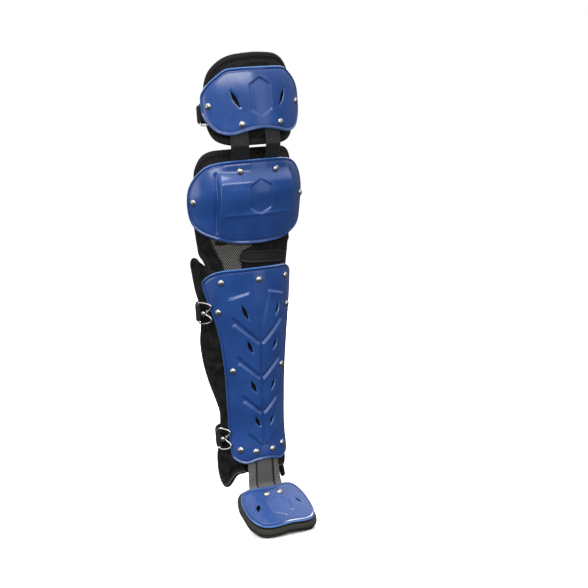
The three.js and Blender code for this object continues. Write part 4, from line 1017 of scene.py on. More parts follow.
def swell(name, front_free, back_free):
    """Moves a pad's points as its blown-up cloth moved, where front_free and back_free allow."""
    piece = bpy.data.objects[f"{name}_cushion"]
    flat, edge, side = SHELLS[piece.name]
    rest, moved = blown_up(piece, edge)
    far = np.linalg.norm(moved, axis=1, keepdims=True)
    moved *= np.minimum(1, MOST_MOVE / (far + 1e-9))
    coarse, fine = find_tree(rest), places(piece.data)
    move = np.zeros_like(fine)
    for k, point in enumerate(fine):
        _, index, gap = zip(*coarse.find_n(point, 4))
        weight = 1 / (np.array(gap) + 0.5)
        move[k] = weight / weight.sum() @ moved[list(index)]
    free = np.where(side > 0, front_free(flat), np.where(side < 0, back_free(flat), 0))
    move *= (free * ease((edge - SEAM_IN - 0.5) / 4))[:, None]
    piece.data.vertices.foreach_set("co", ((fine + move) * MM).ravel())
    piece.data.update()
    print(f"{piece.name}: cloth moved up to {np.linalg.norm(move, axis=1).max():.1f} mm")


print("no point moves more than", MOST_MOVE, "mm")

# %% [markdown]
# A pad is foam sewn between two layers of cloth and bound round its edge with tape. The binding
# makes a firm roll, then the stitched seam pulls the pad in, and inside it the foam fills out.
# The shell function draws it: the rim's radius is half the binding's thickness, and the front
# and back follow the roll, the seam and the crown of the foam. Two upright folds sewn into the
# back let a thick pad bend round the leg.

# %% A bound pad
FOLD_DEEP = 2.2
PADS = {}


def crown(edge, roll, full):
    """Half thickness of a pad at a distance from its edge: roll, seam, then foam."""
    foam = mix(roll - 0.3, full, ease((edge - SEAM_IN) / 16))
    return foam - 1.3 * np.exp(-((edge - SEAM_IN) / 1.5) ** 2)


def pad(name, surface, grid, face, thick, roll, fold=None, finish=NYLON):
    """face gives the lift of the pad's front, thick its thickness, fold the sewn folds behind."""
    def centre(a, z):
        return face(a, z) - thick(a, z) / 2

    def front(a, z, edge):
        return centre(a, z) + np.minimum(crown(edge, roll, thick(a, z) / 2), thick(a, z) / 2)

    def back(a, z, edge):
        channel = FOLD_DEEP * np.exp(-((np.abs(a) - fold(z)) / 2.4) ** 2) if fold else 0
        return centre(a, z) - crown(edge, roll, thick(a, z) / 2) + channel * ease((edge - SEAM_IN) / 3)

    piece = shell(f"{name}_cushion", surface, *grid, front, back, roll, centre, 10)
    PADS[name] = surface, face, thick, roll, fold
    own(piece, finish, "pad_cloth", name)


print("half thickness 3 mm and 30 mm in from the edge:", crown(np.array([3.0, 30.0]), 4, 7).round(1))

# %% [markdown]
# The thigh pad shows as a black border round the thigh plate, tallest above it. Its cloth is
# pressed flat under the plate and under the two webbing straps.

# %% Thigh pad
THIGH_PAD_OUTLINE = [(0, 1, 0), (0.4, 0.985, 0), (0.6, 0.95, 0.015), (0.78, 0.88, 0.05),
                     (0.92, 0.79, 0.12), (1, 0.66, 0.24)]


def thigh_pad_free(flat):
    a, z = flat.T
    connectors = ease((z - 92) / 5) + ease((np.abs(a) - 44) / 5)
    return clear_of_plate("thigh", flat) * np.minimum(connectors, 1)


grid = flat_grid(THIGH_PAD_OUTLINE, lambda z: THIGH_PAD_HALF, THIGH_PAD_TOP, THIGH_PAD_LOW, 110, 80)
pad("thigh_pad", on_thigh, grid, lambda a, z: UNDER_STRAPS + 0 * a, lambda a, z: 14.0 + 0 * a, 4.2,
    fold=lambda z: 42.0)
swell("thigh_pad", thigh_pad_free, lambda flat: np.ones(len(flat)))
print("thigh pad:", THIGH_PAD_TOP - THIGH_PAD_LOW, "mm tall")

# %% [markdown]
# The knee pad is foam behind the knee plate and thins to a skirt that covers the gap down to
# the shin plate.

# %% Knee pad and skirt
KNEE_PAD_OUTLINE = [(0, 1, 0), (0.62, 0.995, 0), (0.78, 0.975, 0.002), (0.9, 0.93, 0.008), (1, 0.84, 0.03)]
KNEE_PAD_WIDTHS = [(SKIRT_LOW, 0.7), (SHIN_TOP, 0.76), (mix(SHIN_TOP, KNEE_LOW, 0.38), 0.82),
                   (mix(SHIN_TOP, KNEE_LOW, 0.64), 0.925), (KNEE_LOW, 0.95),
                   (mix(KNEE_LOW, KNEE_TOP, 0.4), 1), (KNEE_PAD_TOP, 0.97)]


def knee_pad_half(z):
    return KNEE_PAD_HALF * through(KNEE_PAD_WIDTHS, z)


def skirt_share(z):
    return ease((z - SHIN_TOP) / (KNEE_LOW - SHIN_TOP))


def knee_pad_face(a, z):
    return mix(UNDER_PLATE - 0.3, UNDER_STRAPS, skirt_share(z)) + 0 * a


def knee_pad_thick(a, z):
    return mix(6.0, 15.0, skirt_share(z)) + 0 * a


def knee_pad_free(flat):
    a, z = flat.T
    connectors = ease((50 - z) / 5) + ease((np.abs(a) - 46) / 5)
    return clear_of_plate("knee", flat) * np.minimum(connectors, 1) * ease((z - KNEE_LOW) / 4)


grid = flat_grid(KNEE_PAD_OUTLINE, knee_pad_half, KNEE_PAD_TOP, SKIRT_LOW, 130, 110)
pad("knee_pad", on_leg, grid, knee_pad_face, knee_pad_thick, 3.0, fold=lambda z: 50.0)
swell("knee_pad", knee_pad_free, lambda flat: ease((flat[:, 1] - KNEE_LOW - 4) / 10))
print("knee pad with its skirt:", KNEE_PAD_TOP - SKIRT_LOW, "mm tall")

# %% [markdown]
# The shin pad lies against the shin plate and spreads into a wing on each side that wraps round
# the calf, pinched in above the ankle. It stays flat under the plate, under the knee pad's skirt
# and under the straps.

# %% Shin pad with wings
WING_WIDTHS = [(0.027, 0.737), (0.086, 0.807), (0.143, 0.795), (0.187, 0.695), (0.285, 0.625),
               (0.32, 0.614), (0.4, 0.714), (0.46, 0.832), (0.553, 0.965), (0.61, 0.98),
               (0.657, 0.945), (0.707, 0.885), (0.813, 0.905), (0.856, 0.967), (0.951, 1)]
WING_OUTLINE = [(0, 0.93, 0.068), (0.46, 0.93, 0.066), (0.6, 0.93, 0.04), (0.72, 0.94, 0.012),
                (0.77, 0.955, 0.004), (0.84, 0.995, 0), (0.9, 1, 0.004), (1, 0.965, 0.03)]
CALF_Z, ANKLE_Z = mix(SHIN_TOP, SHIN_LOW, 0.215), mix(SHIN_TOP, SHIN_LOW, 0.865)


def wing_half(z):
    return WING_HALF * through(WING_WIDTHS, (z - WING_LOW) / (WING_TOP - WING_LOW))


def plate_edge(z):
    return shin_half(np.clip(z, SHIN_LOW, SHIN_TOP))


def wing_share(a, z):
    return ease((np.abs(a) - plate_edge(z) * 0.82) / (plate_edge(z) * 0.2))


def shin_pad_face(a, z):
    past = ease((np.abs(a) - KNEE_PAD_HALF * 0.88) / 6)
    under = ease((z - (SKIRT_LOW - 6)) / 5) * (1 - past)
    tongue = (1 - ease((np.abs(a) - 31) / 4)) * ease((SHIN_LOW + 34 - z) / 6) * 5.8
    flat = UNDER_PLATE - 0.3
    wing = mix(flat, -6.0, wing_share(a, z))
    return np.minimum(wing, np.minimum(flat - tongue, flat - under * 6.9))


def shin_pad_thick(a, z):
    return mix(12.0, 8.0, wing_share(a, z))


def shin_pad_free(flat):
    a, z = flat.T
    skirt = ease((SKIRT_LOW - 8 - z) / 6)
    instep = np.minimum(ease((z + 352) / 6) + ease((np.abs(a) - 38) / 6), 1)
    straps = ease((np.abs(z - CALF_Z) - 16) / 7) * ease((np.abs(z - ANKLE_Z) - 16) / 7)
    return clear_of_plate("shin", flat) * skirt * instep * straps


pad("shin_pad", on_leg, flat_grid(WING_OUTLINE, wing_half, WING_TOP, WING_LOW, 170, 200), shin_pad_face,
    shin_pad_thick, 3.2, fold=lambda z: plate_edge(z) * 0.92)
swell("shin_pad", shin_pad_free, lambda flat: ease((SKIRT_LOW - 4 - flat[:, 1]) / 10))
print("shin pad:", WING_TOP - WING_LOW, "mm tall")

# %% [markdown]
# The toe pad is a firm block under the toe cap that shows all round it.

# %% Toe pad
def toe_pad_face(a, z):
    across = 1 - ease((np.abs(a) - 30) / 4)
    along = 1 - ease((-z - 19) / 6)
    return UNDER_PLATE - 3.9 * across * along


pad("toe_pad", on_toe, toe_grid(TOE_HALF + 5, 5, 80, 64), toe_pad_face, lambda a, z: 11.0 + 0 * a, 4.5,
    finish=TOE_NYLON)
swell("toe_pad", lambda flat: np.zeros(len(flat)), lambda flat: np.ones(len(flat)))

# %% [markdown]
# Seams are what make a pad look sewn. Each stitch is a short spindle of thread that dips into
# the cloth at both ends: three rings of five points between two tips.

# %% A row of stitches
STITCH = [(0, 0.0, -0.5), (0.12, 0.8, 0.0), (0.5, 1.0, 0.25), (0.88, 0.8, 0.0), (1, 0.0, -0.5)]
STITCH_SHARE = 0.72


def stitches(name, surface, line, lift, pitch=4.0, finish=THREAD_BLACK, closed=True, thread=0.42, out_of=1):
    """line is a row of flat places; lift is the cloth's height there; out_of is -1 on a back."""
    ends = np.vstack([line, line[:1]]) if closed else line
    length = lengths(ends)
    points, faces = [], []
    for k in range(int(length[-1] / pitch)):
        run = [(k + 0.14 + STITCH_SHARE * t) * pitch for t, _, _ in STITCH]
        spots = np.stack([np.interp(run, length, ends[:, n]) for n in (0, 1)], -1)
        way = spots[-1] - spots[0]
        way /= np.linalg.norm(way) + 1e-9
        faces += [face[::-1] for face in spindle(len(points), 3, 5)]
        for (a, z), (_, fat, rise) in zip(spots, STITCH):
            at, side, up, out = frame_at(surface, float(a), float(z), float(lift(a, z)) + rise * out_of)
            across = side * way[1] - up * way[0]
            angles = np.radians((0, 72, 144, 216, 288)) if fat else [0]
            points += [at + thread * fat * (across * math.cos(g) + out * math.sin(g)) for g in angles]
    return own(make_mesh(name, points, faces, sharp=80), finish, "pad_cloth")


print("a stitch covers", STITCH_SHARE, "of its pitch")

# %% [markdown]
# Black thread runs round each pad on the leg, in the seam beside its binding, with a stitch
# every four millimetres. The folds behind the pads are held down by rows of the same stitches.

# %% Seams and folds
def inset(name, far):
    outline = OUTLINES[name]
    return outline - far * loop_normals(outline)


def seam(name):
    """The stitches in the seam beside a pad's binding."""
    surface, face, thick, roll, _ = PADS[name]

    def lift(a, z):
        half = thick(a, z) / 2
        return float(face(a, z) - half + min(crown(np.array(SEAM_IN), roll, half), half)) + 0.15

    stitches(f"{name}_seam", surface, inset(f"{name}_cushion", SEAM_IN)[::2], lift)


def fold_rows(name, low, top):
    """The stitches down in the two folds behind a pad."""
    surface, face, thick, _, fold = PADS[name]
    z = np.linspace(low, top, 60)
    for side, word in ((-1, "left"), (1, "right")):
        line = np.stack([side * (fold(z) + 0 * z), z], -1)
        stitches(f"{name}_fold_{word}", surface, line,
                 lambda a, z: face(a, z) - thick(a, z) + FOLD_DEEP - 0.3, closed=False, out_of=-1)


for name in ("thigh_pad", "knee_pad", "shin_pad"):
    seam(name)
fold_rows("thigh_pad", THIGH_PAD_LOW + 12, THIGH_PAD_TOP - 12)
fold_rows("knee_pad", KNEE_LOW + 8, KNEE_PAD_TOP - 12)
fold_rows("shin_pad", SHIN_LOW + 2, SHIN_TOP - 26)

# %% [markdown]
# The low edge of each wing has a second row of stitches, in grey thread, close to the edge.

# %% Grey rows on the wings
HEM_IN = 3.7


def hem_row(side):
    """The stretch of the wings' low edge on one side."""
    hem = inset("shin_pad_cushion", HEM_IN)
    row = hem[(hem[:, 0] * side > 30) & (hem[:, 1] < -352)]
    far = np.abs(np.diff(row, axis=0)).sum(axis=1)
    cut = int(np.argmax(far)) + 1 if far.max() > 12 else 0
    return np.roll(row, -cut, axis=0)[::2]


def hem_lift(a, z):
    return shin_pad_face(a, z) - 4.0 + crown(np.array(HEM_IN), 3.2, 4.0) + 0.1


for side, word in ((-1, "left"), (1, "right")):
    stitches(f"wing_hem_{word}", on_leg, hem_row(side), hem_lift, 4.4, THREAD_GREY, closed=False, thread=0.5)

# %% [markdown]
# Cord and wire are both a round tube swept along a line. The ring of points is carried from one
# place to the next without twisting, so the tube's faces stay even round a bend.

# %% A swept tube
def skin(rings, closed):
    """Faces round a row of rings of point numbers, with a cap on both ends of an open row."""
    pairs = zip(rings, np.roll(rings, -1, axis=0)) if closed else zip(rings, rings[1:])
    faces = [face for one, other in pairs for face in between(one, other)]
    return faces if closed else faces + [rings[0][::-1].tolist(), rings[-1].tolist()]


def tube(name, line, radius, finish, slot, nodes=(), closed=True, sides=12):
    ways = np.roll(line, -1, axis=0) - np.roll(line, 1, axis=0) if closed else np.gradient(line, axis=0)
    ways /= np.linalg.norm(ways, axis=1, keepdims=True)
    normal = np.cross(ways[0], (0.3, 0.2, 1.0))
    points = []
    for at, way in zip(line, ways):
        normal = unit(normal - way * (normal @ way))
        other = np.cross(way, normal)
        points += [at + radius * (normal * math.cos(a) + other * math.sin(a))
                   for a in np.arange(sides) / sides * 2 * math.pi]
    rings = np.arange(len(points)).reshape(-1, sides)
    ends = np.vstack([line, line[:1]]) if closed else line
    print(f"{name} is {lengths(ends)[-1]:.0f} mm long")
    return own(make_mesh(name, points, skin(rings, closed)), finish, slot, *nodes)


print("faces of a tube of three open rings:", len(skin(np.arange(36).reshape(3, 12), False)))

# %% [markdown]
# The mesh panel is a thin sheet laid on the skirt, cut slanting on its outer side, where the
# piping cord runs down between the panel and the plain cloth. It is one flat piece, so it gets
# the same shell with a very thin rim. A second cord edges the toe pad.

# %% Mesh panel and piping
PIPING = np.array([(-73, -45), (-67, -57), (-62, -67), (-54, -80), (-51, -90), (-50.5, -101)], float)
PANEL_LOW, PANEL_TOP = -101, -46


def piping_arc(z):
    return through([(level, arc) for arc, level in PIPING[::-1]], z)


def mesh_grid(columns, rows):
    z = np.linspace(PANEL_LOW, PANEL_TOP, rows)[:, None]
    u = np.linspace(0, 1, columns)[None, :]
    right = -24 + 16 * ease((z + 68) / 8)
    return mix(piping_arc(z) + 1.5, right, u), z + 0 * u


def above_skirt(lift):
    """A lift over the skirt's face, for the front, back or middle of a shell."""
    return lambda a, z, edge=None: knee_pad_face(a, z) + lift


mesh_panel = shell("spacer_mesh_panel", on_leg, *mesh_grid(50, 40), above_skirt(0.55), above_skirt(-0.3), 0.4,
                   above_skirt(0.15), corner=1.5)
own(mesh_panel, MESH, "pad_cloth")
z = np.linspace(PANEL_LOW, PANEL_TOP, 60)
skirt_seam = on_leg(piping_arc(z), z, knee_pad_face(0, z) + 0.9)
tube("skirt_piping", skirt_seam, 1.6, CORD, "pad_cloth", closed=False)
rim_a, rim_z = inset("toe_pad_cushion", 1.2)[::2].T
tube("toe_piping", on_toe(rim_a, rim_z, np.full_like(rim_a, UNDER_PLATE - 10.2)), 1.5, CORD, "pad_cloth")

# %% [markdown]
# A band of webbing is a thin strip with rounded edges. It is swept along a line of places, and
# its flat map runs across the width and along the length, so its ribs always run lengthwise.

# %% A band of webbing
def band(name, rows, thick, finish, slot, nodes, puff=lambda shares: 0 * shares, across=13):
    """Each of rows turns (share across, lift) into a point; puff thickens the front."""
    shares = np.linspace(-0.5, 0.5, across)
    width = np.linalg.norm(rows[0](0.5, 0.0) - rows[0](-0.5, 0.0))
    past = np.clip(np.abs(shares) - 0.5 + thick / width / 2, 0, 1) / (thick / width / 2)
    half = thick / 2 * np.maximum(np.sqrt(np.clip(1 - past ** 2, 0, 1)), 0.25)
    length = lengths(np.array([row(0.0, 0.0) for row in rows]))
    points, flat = [], []
    for row, run in zip(rows, length):
        points += [row(s, -thick / 2 + h + p) for s, h, p in zip(shares, half, puff(shares))]
        points += [row(s, -thick / 2 - h) for s, h in zip(shares[::-1], half[::-1])]
        flat += [(s * width, run) for s in (*shares, *shares[::-1])]
    rings = np.arange(len(points)).reshape(len(rows), -1)
    print(f"{name} is {length[-1]:.0f} mm long and {width:.0f} mm wide")
    return own(make_mesh(name, points, skin(rings, False), flat), finish, slot, *nodes)


# %% [markdown]
# Two short webbing straps hang the knee plate from the thigh plate. They come out from under
# the thigh plate, cross both pads' edges and go in under the knee plate.

# %% Connector straps
CONNECTOR_WIDE, CONNECTOR_OUT, CONNECTOR_SLANT = 26, 25.7, 10
TUCKED_IN = 22


def connector(way):
    def row(z):
        slant = CONNECTOR_SLANT * np.clip((z - KNEE_TOP) / (THIGH_PAD_LOW - KNEE_TOP), 0, 1)
        middle = way * CONNECTOR_OUT + 2 - slant
        return lambda s, lift: on_bridge(middle + s * CONNECTOR_WIDE, z, UNDER_PLATE + lift)
    return [row(z) for z in np.linspace(KNEE_TOP - TUCKED_IN, THIGH_LOW + TUCKED_IN, 40)]


for side, way in (("left", -1), ("right", 1)):
    band(f"connector_webbing_{side}", connector(way), 2.2, WEBBING, "webbing", [f"connector_strap_{side}"])

# %% [markdown]
# The instep strap ties the toe cap to the shin plate: a wide soft grey band in three lanes,
# parted by two sewn seams. It leaves the shin plate straight down and bends over onto the toe.

# %% Instep strap
INSTEP_WIDE = 54


def instep_rows():
    top, last = SHIN_LOW + 25, mix(SHIN_LOW + 25, SHIN_LOW - 8, 0.7)
    slope = np.array([0, math.cos(math.radians(30)), math.sin(math.radians(30))])

    def straight(z):
        return lambda s, lift: on_leg(s * INSTEP_WIDE, z, UNDER_PLATE + lift)

    def flat(back):
        return lambda s, lift: on_toe(s * INSTEP_WIDE, back, UNDER_PLATE + lift)

    def curved(t):
        def point(s, lift):
            a, d = straight(last)(s, lift), flat(0.3 * TOE_LONG)(s, lift)
            return curve_through(a, a - (0, 0, (last - TOE_RIVET_Z) * 0.45), d + slope * 3, d, t)
        return point

    rows = [straight(z) for z in np.linspace(top, last, 10)]
    rows += [curved(t) for t in np.linspace(0.05, 1, 24)]
    return rows + [flat(back) for back in np.linspace(0.26 * TOE_LONG, -14, 14)]


def three_lanes(shares):
    """Soft lanes between seams that are LANE mm to each side of the middle."""
    place = np.abs(shares * INSTEP_WIDE)
    seam = np.exp(-((place - LANE) / 1.4) ** 2) + 0.6 * np.exp(-((place - INSTEP_WIDE / 2) / 1.5) ** 2)
    return 0.6 - 1.4 * seam


band("instep_webbing", instep_rows(), 3.4, INSTEP, "instep_webbing", ["instep_strap"], three_lanes, across=61)

# %% [markdown]
# A clip is a ring of steel wire: a straight bar for the strap's eye at the back, and two round
# lobes in front with a pinch between them that snaps behind a post. The wire follows the bend
# of the pad that it lies on.

# %% Wire clips and turned posts
WIRE_R, POST_R, PLAY, PINCH = 1.2, 1.9, 0.3, 0.7


def clip_spots(bar, middle, long, tall=29, lobe=6):
    """The clip's bends as flat places, beginning behind its bar."""
    t, pinch = tall / 2, long * PINCH
    half = [(3, t), (long * 0.55, t), (long - 1.5, t - 2.5), (long, t - lobe), (long - 3, t - lobe - 4),
            (pinch, 2.6)]
    path = [(0, -t + 3), (0, 0), (0, t - 3)] + half + [(pinch - 2, 0)] + [(a, -b) for a, b in half[::-1]]
    return np.array(path) + (-bar, middle)


def turned(name, frame_here, profile, nodes, sides=32):
    """A body turned on a lathe: profile is a list of (radius, height) standing on a frame."""
    at, side, up, out = frame_here
    points = []
    for radius, height in profile:
        angles = np.arange(sides) / sides * 2 * math.pi if radius else [0]
        points += [at + out * height + radius * (side * math.cos(a) + up * math.sin(a)) for a in angles]
    faces = spindle(0, len(profile) - 2, sides)
    return own(make_mesh(name, points, faces, sharp=60), RIVET, "rivet_metal", *nodes)


print("a clip's wire is", 2 * WIRE_R, "mm thick, its post", 2 * POST_R, "mm")

# %% [markdown]
# The straps themselves are elastic. Each is sewn flat onto the wing at the far side, runs round
# behind the leg, turns in past the pad's edge, wraps the clip's bar and is sewn back onto
# itself. Seen from above it is one line, drawn here from the sewn end to the eye.

# %% The way of a strap
STRAP_WIDE, EYE_WIDE, STRAP_THICK = 25.0, 22, 2.0
EYE_R = WIRE_R + 0.75 + STRAP_THICK / 2
EYE_ANGLES = np.radians(np.arange(18, 330, 18))


def strap_line(surface, z, edge, bar, clip_lift, sewn_lift, bow, turn_in):
    """bow is how far the strap stands off the calf, turn_in how sharply it turns in."""
    sewn = [surface(edge - 18 * (1 - k / 12), z, sewn_lift + 1) for k in range(12)]
    start = surface(edge, z, sewn_lift + 1)
    on = unit(start - surface(edge - 1, z, sewn_lift + 1))
    at, side, up, out = frame_at(surface, -bar, z, clip_lift)
    # The corner past the pad's edge, where the strap turns in behind the leg
    corner_arc = -(max(edge, bar) + 2.8)
    corner = surface(corner_arc, z, min(clip_lift, -3.4))
    along = surface(corner_arc - 1, z, 0) - surface(corner_arc, z, 0)
    away = surface(corner_arc, z, 1) - surface(corner_arc, z, 0)
    inwards = math.radians(turn_in)
    home = unit(along) * math.cos(inwards) - unit(away) * math.sin(inwards)
    past = corner + home * 9
    reach = (start[0] - past[0]) * 0.21
    a = start + on * reach + (0, bow * 0.8, 0)
    b = past + home * (reach + bow * 0.8)
    behind = curve_through(start, a, b, past, np.linspace(0, 1, 60, endpoint=False)[:, None])
    t = np.linspace(0, 1, 12)[:, None]
    round_corner = past * (1 - t) ** 2 + corner * 2 * t * (1 - t) + (at - side * EYE_R) * t * t
    # Round the bar and back along the strap's inner face
    eye = [at + EYE_R * (-side * math.cos(g) + out * math.sin(g)) for g in EYE_ANGLES]
    line = np.vstack([sewn, behind, round_corner, eye])
    line[:, 2] = z
    return line


print("the strap's eye has a radius of", EYE_R, "mm")

# %% [markdown]
# The line becomes a strap of full width that narrows to fit between the clip's bends. Clip and
# post are added to it: the post is turned on a lathe, with a neck that the clip's pinch grips
# and a head that keeps the wire on.

# %% Straps, clips and posts
def strap_rows(line):
    """A flat strap stands upright along its line and is narrower in the eye."""
    normals = np.gradient(line, axis=0)[:, (1, 0, 2)] * (1, -1, 0)
    normals /= np.linalg.norm(normals, axis=1, keepdims=True)
    width = np.full(len(line), STRAP_WIDE)
    eye = len(EYE_ANGLES)
    width[-eye - 8:-eye] = np.linspace(STRAP_WIDE, EYE_WIDE, 8)
    width[-eye:] = EYE_WIDE
    return [lambda s, lift, k=k: line[k] + normals[k] * (lift + STRAP_THICK / 2) + (0, 0, s * width[k])
            for k in range(len(line))]


def add_strap(name, surface, z, edge, bar, clip_lift, long, sewn_lift, bow, foot, turn_in):
    rows = strap_rows(strap_line(surface, z, edge, bar, clip_lift, sewn_lift, bow, turn_in))
    band(f"{name}_elastic", rows, STRAP_THICK, ELASTIC, "elastic", [f"{name}_strap"])
    wire = closed_curve(np.array([surface(a, b, clip_lift) for a, b in clip_spots(bar, z, long)]), 8)
    place = long * PINCH - 2 - WIRE_R - PLAY - POST_R - bar
    over = clip_lift + WIRE_R + PLAY
    profile = [(0, foot), (3.4, foot), (3.6, foot + 0.4), (3.4, foot + 0.9), (POST_R, foot + 1.1),
               (POST_R, over), (3.3, over), (3.6, over + 0.4), (3.1, over + 1.3), (1.8, over + 1.8),
               (0, over + 1.9)]
    tube(f"{name}_wire", wire, WIRE_R, WIRE, "wire_metal", [f"{name}_clip"])
    turned(f"{name}_stud", frame_at(surface, place, z), profile, [f"{name}_post"])


add_strap("thigh", on_thigh, mix(THIGH_LOW, THIGH_TOP, 0.35), THIGH_PAD_HALF, THIGH_PAD_HALF + 3.8,
          UNDER_PLATE - WIRE_R, 20, UNDER_PLATE - 2, 34, UNDER_STRAPS + 0.3, 55)
for name, z, back_from_edge, long, bow in (("calf", CALF_Z, 12, 23, 46), ("ankle", ANKLE_Z, 11, 19, 36)):
    wing_edge = float(wing_half(z))
    add_strap(name, on_leg, z, wing_edge, wing_edge - back_from_edge, 2.1, long, -5.1, bow, -5.4, 38)
print("straps at heights of", round(CALF_Z), "and", round(ANKLE_Z), "mm, and one on the thigh")

# %% [markdown]
# Rivets clamp each plate to its pad. Their heads are low domes with a small round shoulder,
# pressed a little into the plastic. Each is placed by its shares of the plate's half width and
# of its height, and stands on the highest place of the plate under its rim.

# %% Rivets
RIVETS = {
    "thigh": (THIGH_HALF, THIGH_LOW, THIGH_TOP, [(-0.86, 0.46), (-0.34, 0.16), (0.34, 0.16), (0.86, 0.46)]),
    "knee": (KNEE_HALF, KNEE_LOW, KNEE_TOP, [(-0.89, 0.54), (-0.25, 0.87), (0.25, 0.87), (0.89, 0.54)]),
    "shin": (SHIN_HALF, SHIN_TOP, SHIN_LOW,
             [(-0.62, 0.064), (0, 0.062), (0.62, 0.064), (-0.69, 0.212), (0.69, 0.212), (-0.465, 0.515),
              (0.465, 0.515), (-0.4, 0.923), (-0.15, 0.937), (0.15, 0.937), (0.4, 0.923)]),
    "toe": (TOE_HALF, 0, 1, [(-0.2, 0), (0.2, 0)]),
}
DOME_PROFILE = [(0, -0.6), (4.5, -0.6), (4.8, 0.0), (4.75, 0.5), (4.45, 1.15), (3.9, 1.8), (3.1, 2.4),
                (2.1, 2.8), (1.0, 3.0), (0, 3.05)]
HEAD = 4.8
INSIDE = 99.0
directions = np.array([(math.cos(g), math.sin(g)) for g in np.radians(range(0, 360, 45))])
under_head = np.vstack([0 * directions, HEAD * directions])
for name, (half, low, top, shares) in RIVETS.items():
    surface, front = PLATES[name]
    for k, (a, v) in enumerate(shares, 1):
        arc, z = a * half, mix(low, top, v)
        around = (under_head + (arc, z)).T
        height = front(*around, np.full(len(under_head), INSIDE)).max()
        seat = frame_at(surface, float(arc), float(z), float(height) - 0.1)
        turned(f"{name}_rivet_head_{k}", seat, DOME_PROFILE, [f"{name}_rivet_{k}"])
print("rivets:", sum(len(shares) for _, _, _, shares in RIVETS.values()))

# %% [markdown]
# The tag below the knee is a soft rubber badge. Here it is left bare, with a raised border.

# %% Rubber tag
TAG_HALF, TAG_TALL_HALF, TAG_FACE, TAG_BACK = 41, 8.5, 2.5, 0.9


def tag_grid(columns, rows):
    u, v = np.meshgrid(np.linspace(-1, 1, columns), np.linspace(-1, 1, rows))
    return u * TAG_HALF, v * TAG_TALL_HALF * (1 - 0.3 * ease((np.abs(u) - 0.6) / 0.4))


def on_tag(a, b, lift):
    turn = math.radians(-4)
    arc = 14 + a * math.cos(turn) - b * math.sin(turn)
    z = mix(KNEE_LOW, SHIN_TOP, 0.6) + a * math.sin(turn) + b * math.cos(turn)
    return on_leg(arc, z, mix(UNDER_PLATE, UNDER_STRAPS, skirt_share(z)) + lift)


def tag_front(a, z, edge):
    return TAG_FACE - 0.5 * ease((edge - 1.8) / 0.8) + 0.15 * ease((edge - 3.5) / 2)


tag = shell("bare_rubber_tag", on_tag, *tag_grid(84, 20), tag_front,
            lambda a, z, edge: TAG_BACK + 0 * a, 0.75, lambda a, z: 1.7 + 0 * a, corner=3)
own(tag, RUBBER, "tag_rubber", "name_tag")

# %% [markdown]
# The floor is a sheet of white paper. The camera sees it bright, but it is darker for the
# light it throws back up, or it would flood the plates from below and wash out their blue.

# %% Floor
FLOOR_HALF, UNDER_GUARD = 6, 0.0005
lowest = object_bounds()[0][2]
ends = -FLOOR_HALF, FLOOR_HALF
square = [(x, y, lowest - UNDER_GUARD) for x, y in zip(ends + ends[::-1], (ends[0],) * 2 + (ends[1],) * 2)]
floor_mesh = bpy.data.meshes.new("floor")
floor_mesh.from_pydata(square, [], [(0, 1, 2, 3)])
floor = bpy.data.objects.new("floor", floor_mesh)
bpy.context.collection.objects.link(floor)
paper, tree, shader = new_finish("paper_sheet_white", Roughness=0.9, IOR=1.45)
seen = add(tree, "LightPath")["Is Camera Ray"]
base = add(tree, "Mix", {0: seen, 6: srgb("333333"), 7: srgb("fcfcfc")}, **COLOURS)[2]
feed(tree, shader, {"Base Color": base})
floor.data.materials.append(paper)
floor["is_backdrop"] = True
print("floor at", round(lowest, 4))

# %% [markdown]
# A product photograph is lit by large soft lights in a white room. Here a long strip light high
# on the left in front models the plates and leaves pale soft reflections in their gloss. A
# smaller light from above reaches the toe cap, a dim one on each side opens the shadows, and a
# broad one from behind draws the pads' edges. The room glows more from its ceiling than from its
# floor, and the camera sees it plain white.

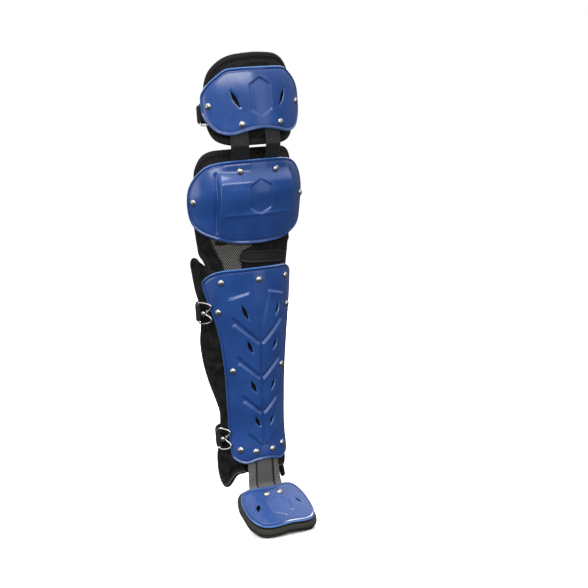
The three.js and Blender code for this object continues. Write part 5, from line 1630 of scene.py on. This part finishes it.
# %% Lights
LIGHTS = {  # name: place, aim, size in metres, power in watts
    "strip": ((-0.72, -1.98, 0.80), (0, 0, 0.1), (2.6, 0.5), 28),
    "top": ((-0.7, -0.9, 2.0), (0, 0, -0.2), (0.9, 0.6), 17),
    "right_panel": ((0.66, -1.35, 0.0), (0, 0, -0.05), (0.6, 0.9), 1.5),
    "left_panel": ((-2.0, -0.1, -0.1), (0, 0, -0.2), (1.0, 1.0), 7),
    "behind": ((0.9, 2.2, 1.2), (0, 0, -0.1), (1.4, 1.4), 75),
}
for name, (place, aim, size, power) in LIGHTS.items():
    lamp = bpy.data.lights.new(name, "AREA")
    lamp.shape, lamp.energy = "RECTANGLE", power
    lamp.size, lamp.size_y = size
    holder = bpy.data.objects.new(name, lamp)
    bpy.context.collection.objects.link(holder)
    holder.location = place
    holder.rotation_euler = (Vector(aim) - Vector(place)).to_track_quat("-Z", "Y").to_euler()
world = bpy.data.worlds.new("white_room")
bpy.context.scene.world = world
world.use_nodes = True
room = world.node_tree
way = add(room, "SeparateXYZ", [add(room, "TexCoord")["Generated"]])["Z"]
glow = add(room, "MapRange", [way, -0.12, 0.7, 0.1, 1.3], **SOFT)["Result"]
seen = add(room, "LightPath")["Is Camera Ray"]
strength = add(room, "Mix", {0: seen, 2: glow, 3: 1.0}, data_type="FLOAT")[0]
feed(room, room.nodes["Background"], {"Strength": strength, "Color": srgb("ffffff")})
bpy.context.scene.view_settings.view_transform = "Standard"
print("lights:", ", ".join(LIGHTS))

# %% [markdown]
# The camera stands where the photographer's did: 27 degrees left of straight ahead, slightly
# above, two metres away with a long lens, and rolled by four degrees.

# %% Camera
TARGET, FAR, LENS = Vector((70.10, -40.15, -139.70)) * MM, 2.016, 86.92
ROLL = math.radians(-4.14)
back = Vector((-0.4505, -0.8842, 0.1236)).normalized()
right = Vector((-back.y, back.x, 0)).normalized()
up = back.cross(right)
right_rolled = right * math.cos(ROLL) + up * math.sin(ROLL)
up_rolled = up * math.cos(ROLL) - right * math.sin(ROLL)
lens = bpy.data.cameras.new("camera")
lens.sensor_width, lens.lens, lens.clip_end = 36, LENS, 50
camera = bpy.data.objects.new("camera", lens)
bpy.context.collection.objects.link(camera)
turn = Matrix((right_rolled, up_rolled, back)).transposed().to_4x4()
camera.matrix_world = Matrix.Translation(TARGET + back * FAR) @ turn
bpy.context.scene.camera = camera
print("camera at", [round(c, 3) for c in camera.location])

# %% Finish
corners = [[list(map(float, corner)) for corner in box] for box in (cad_box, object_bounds())]
print("CAD box", corners[0], "visual box", corners[1])
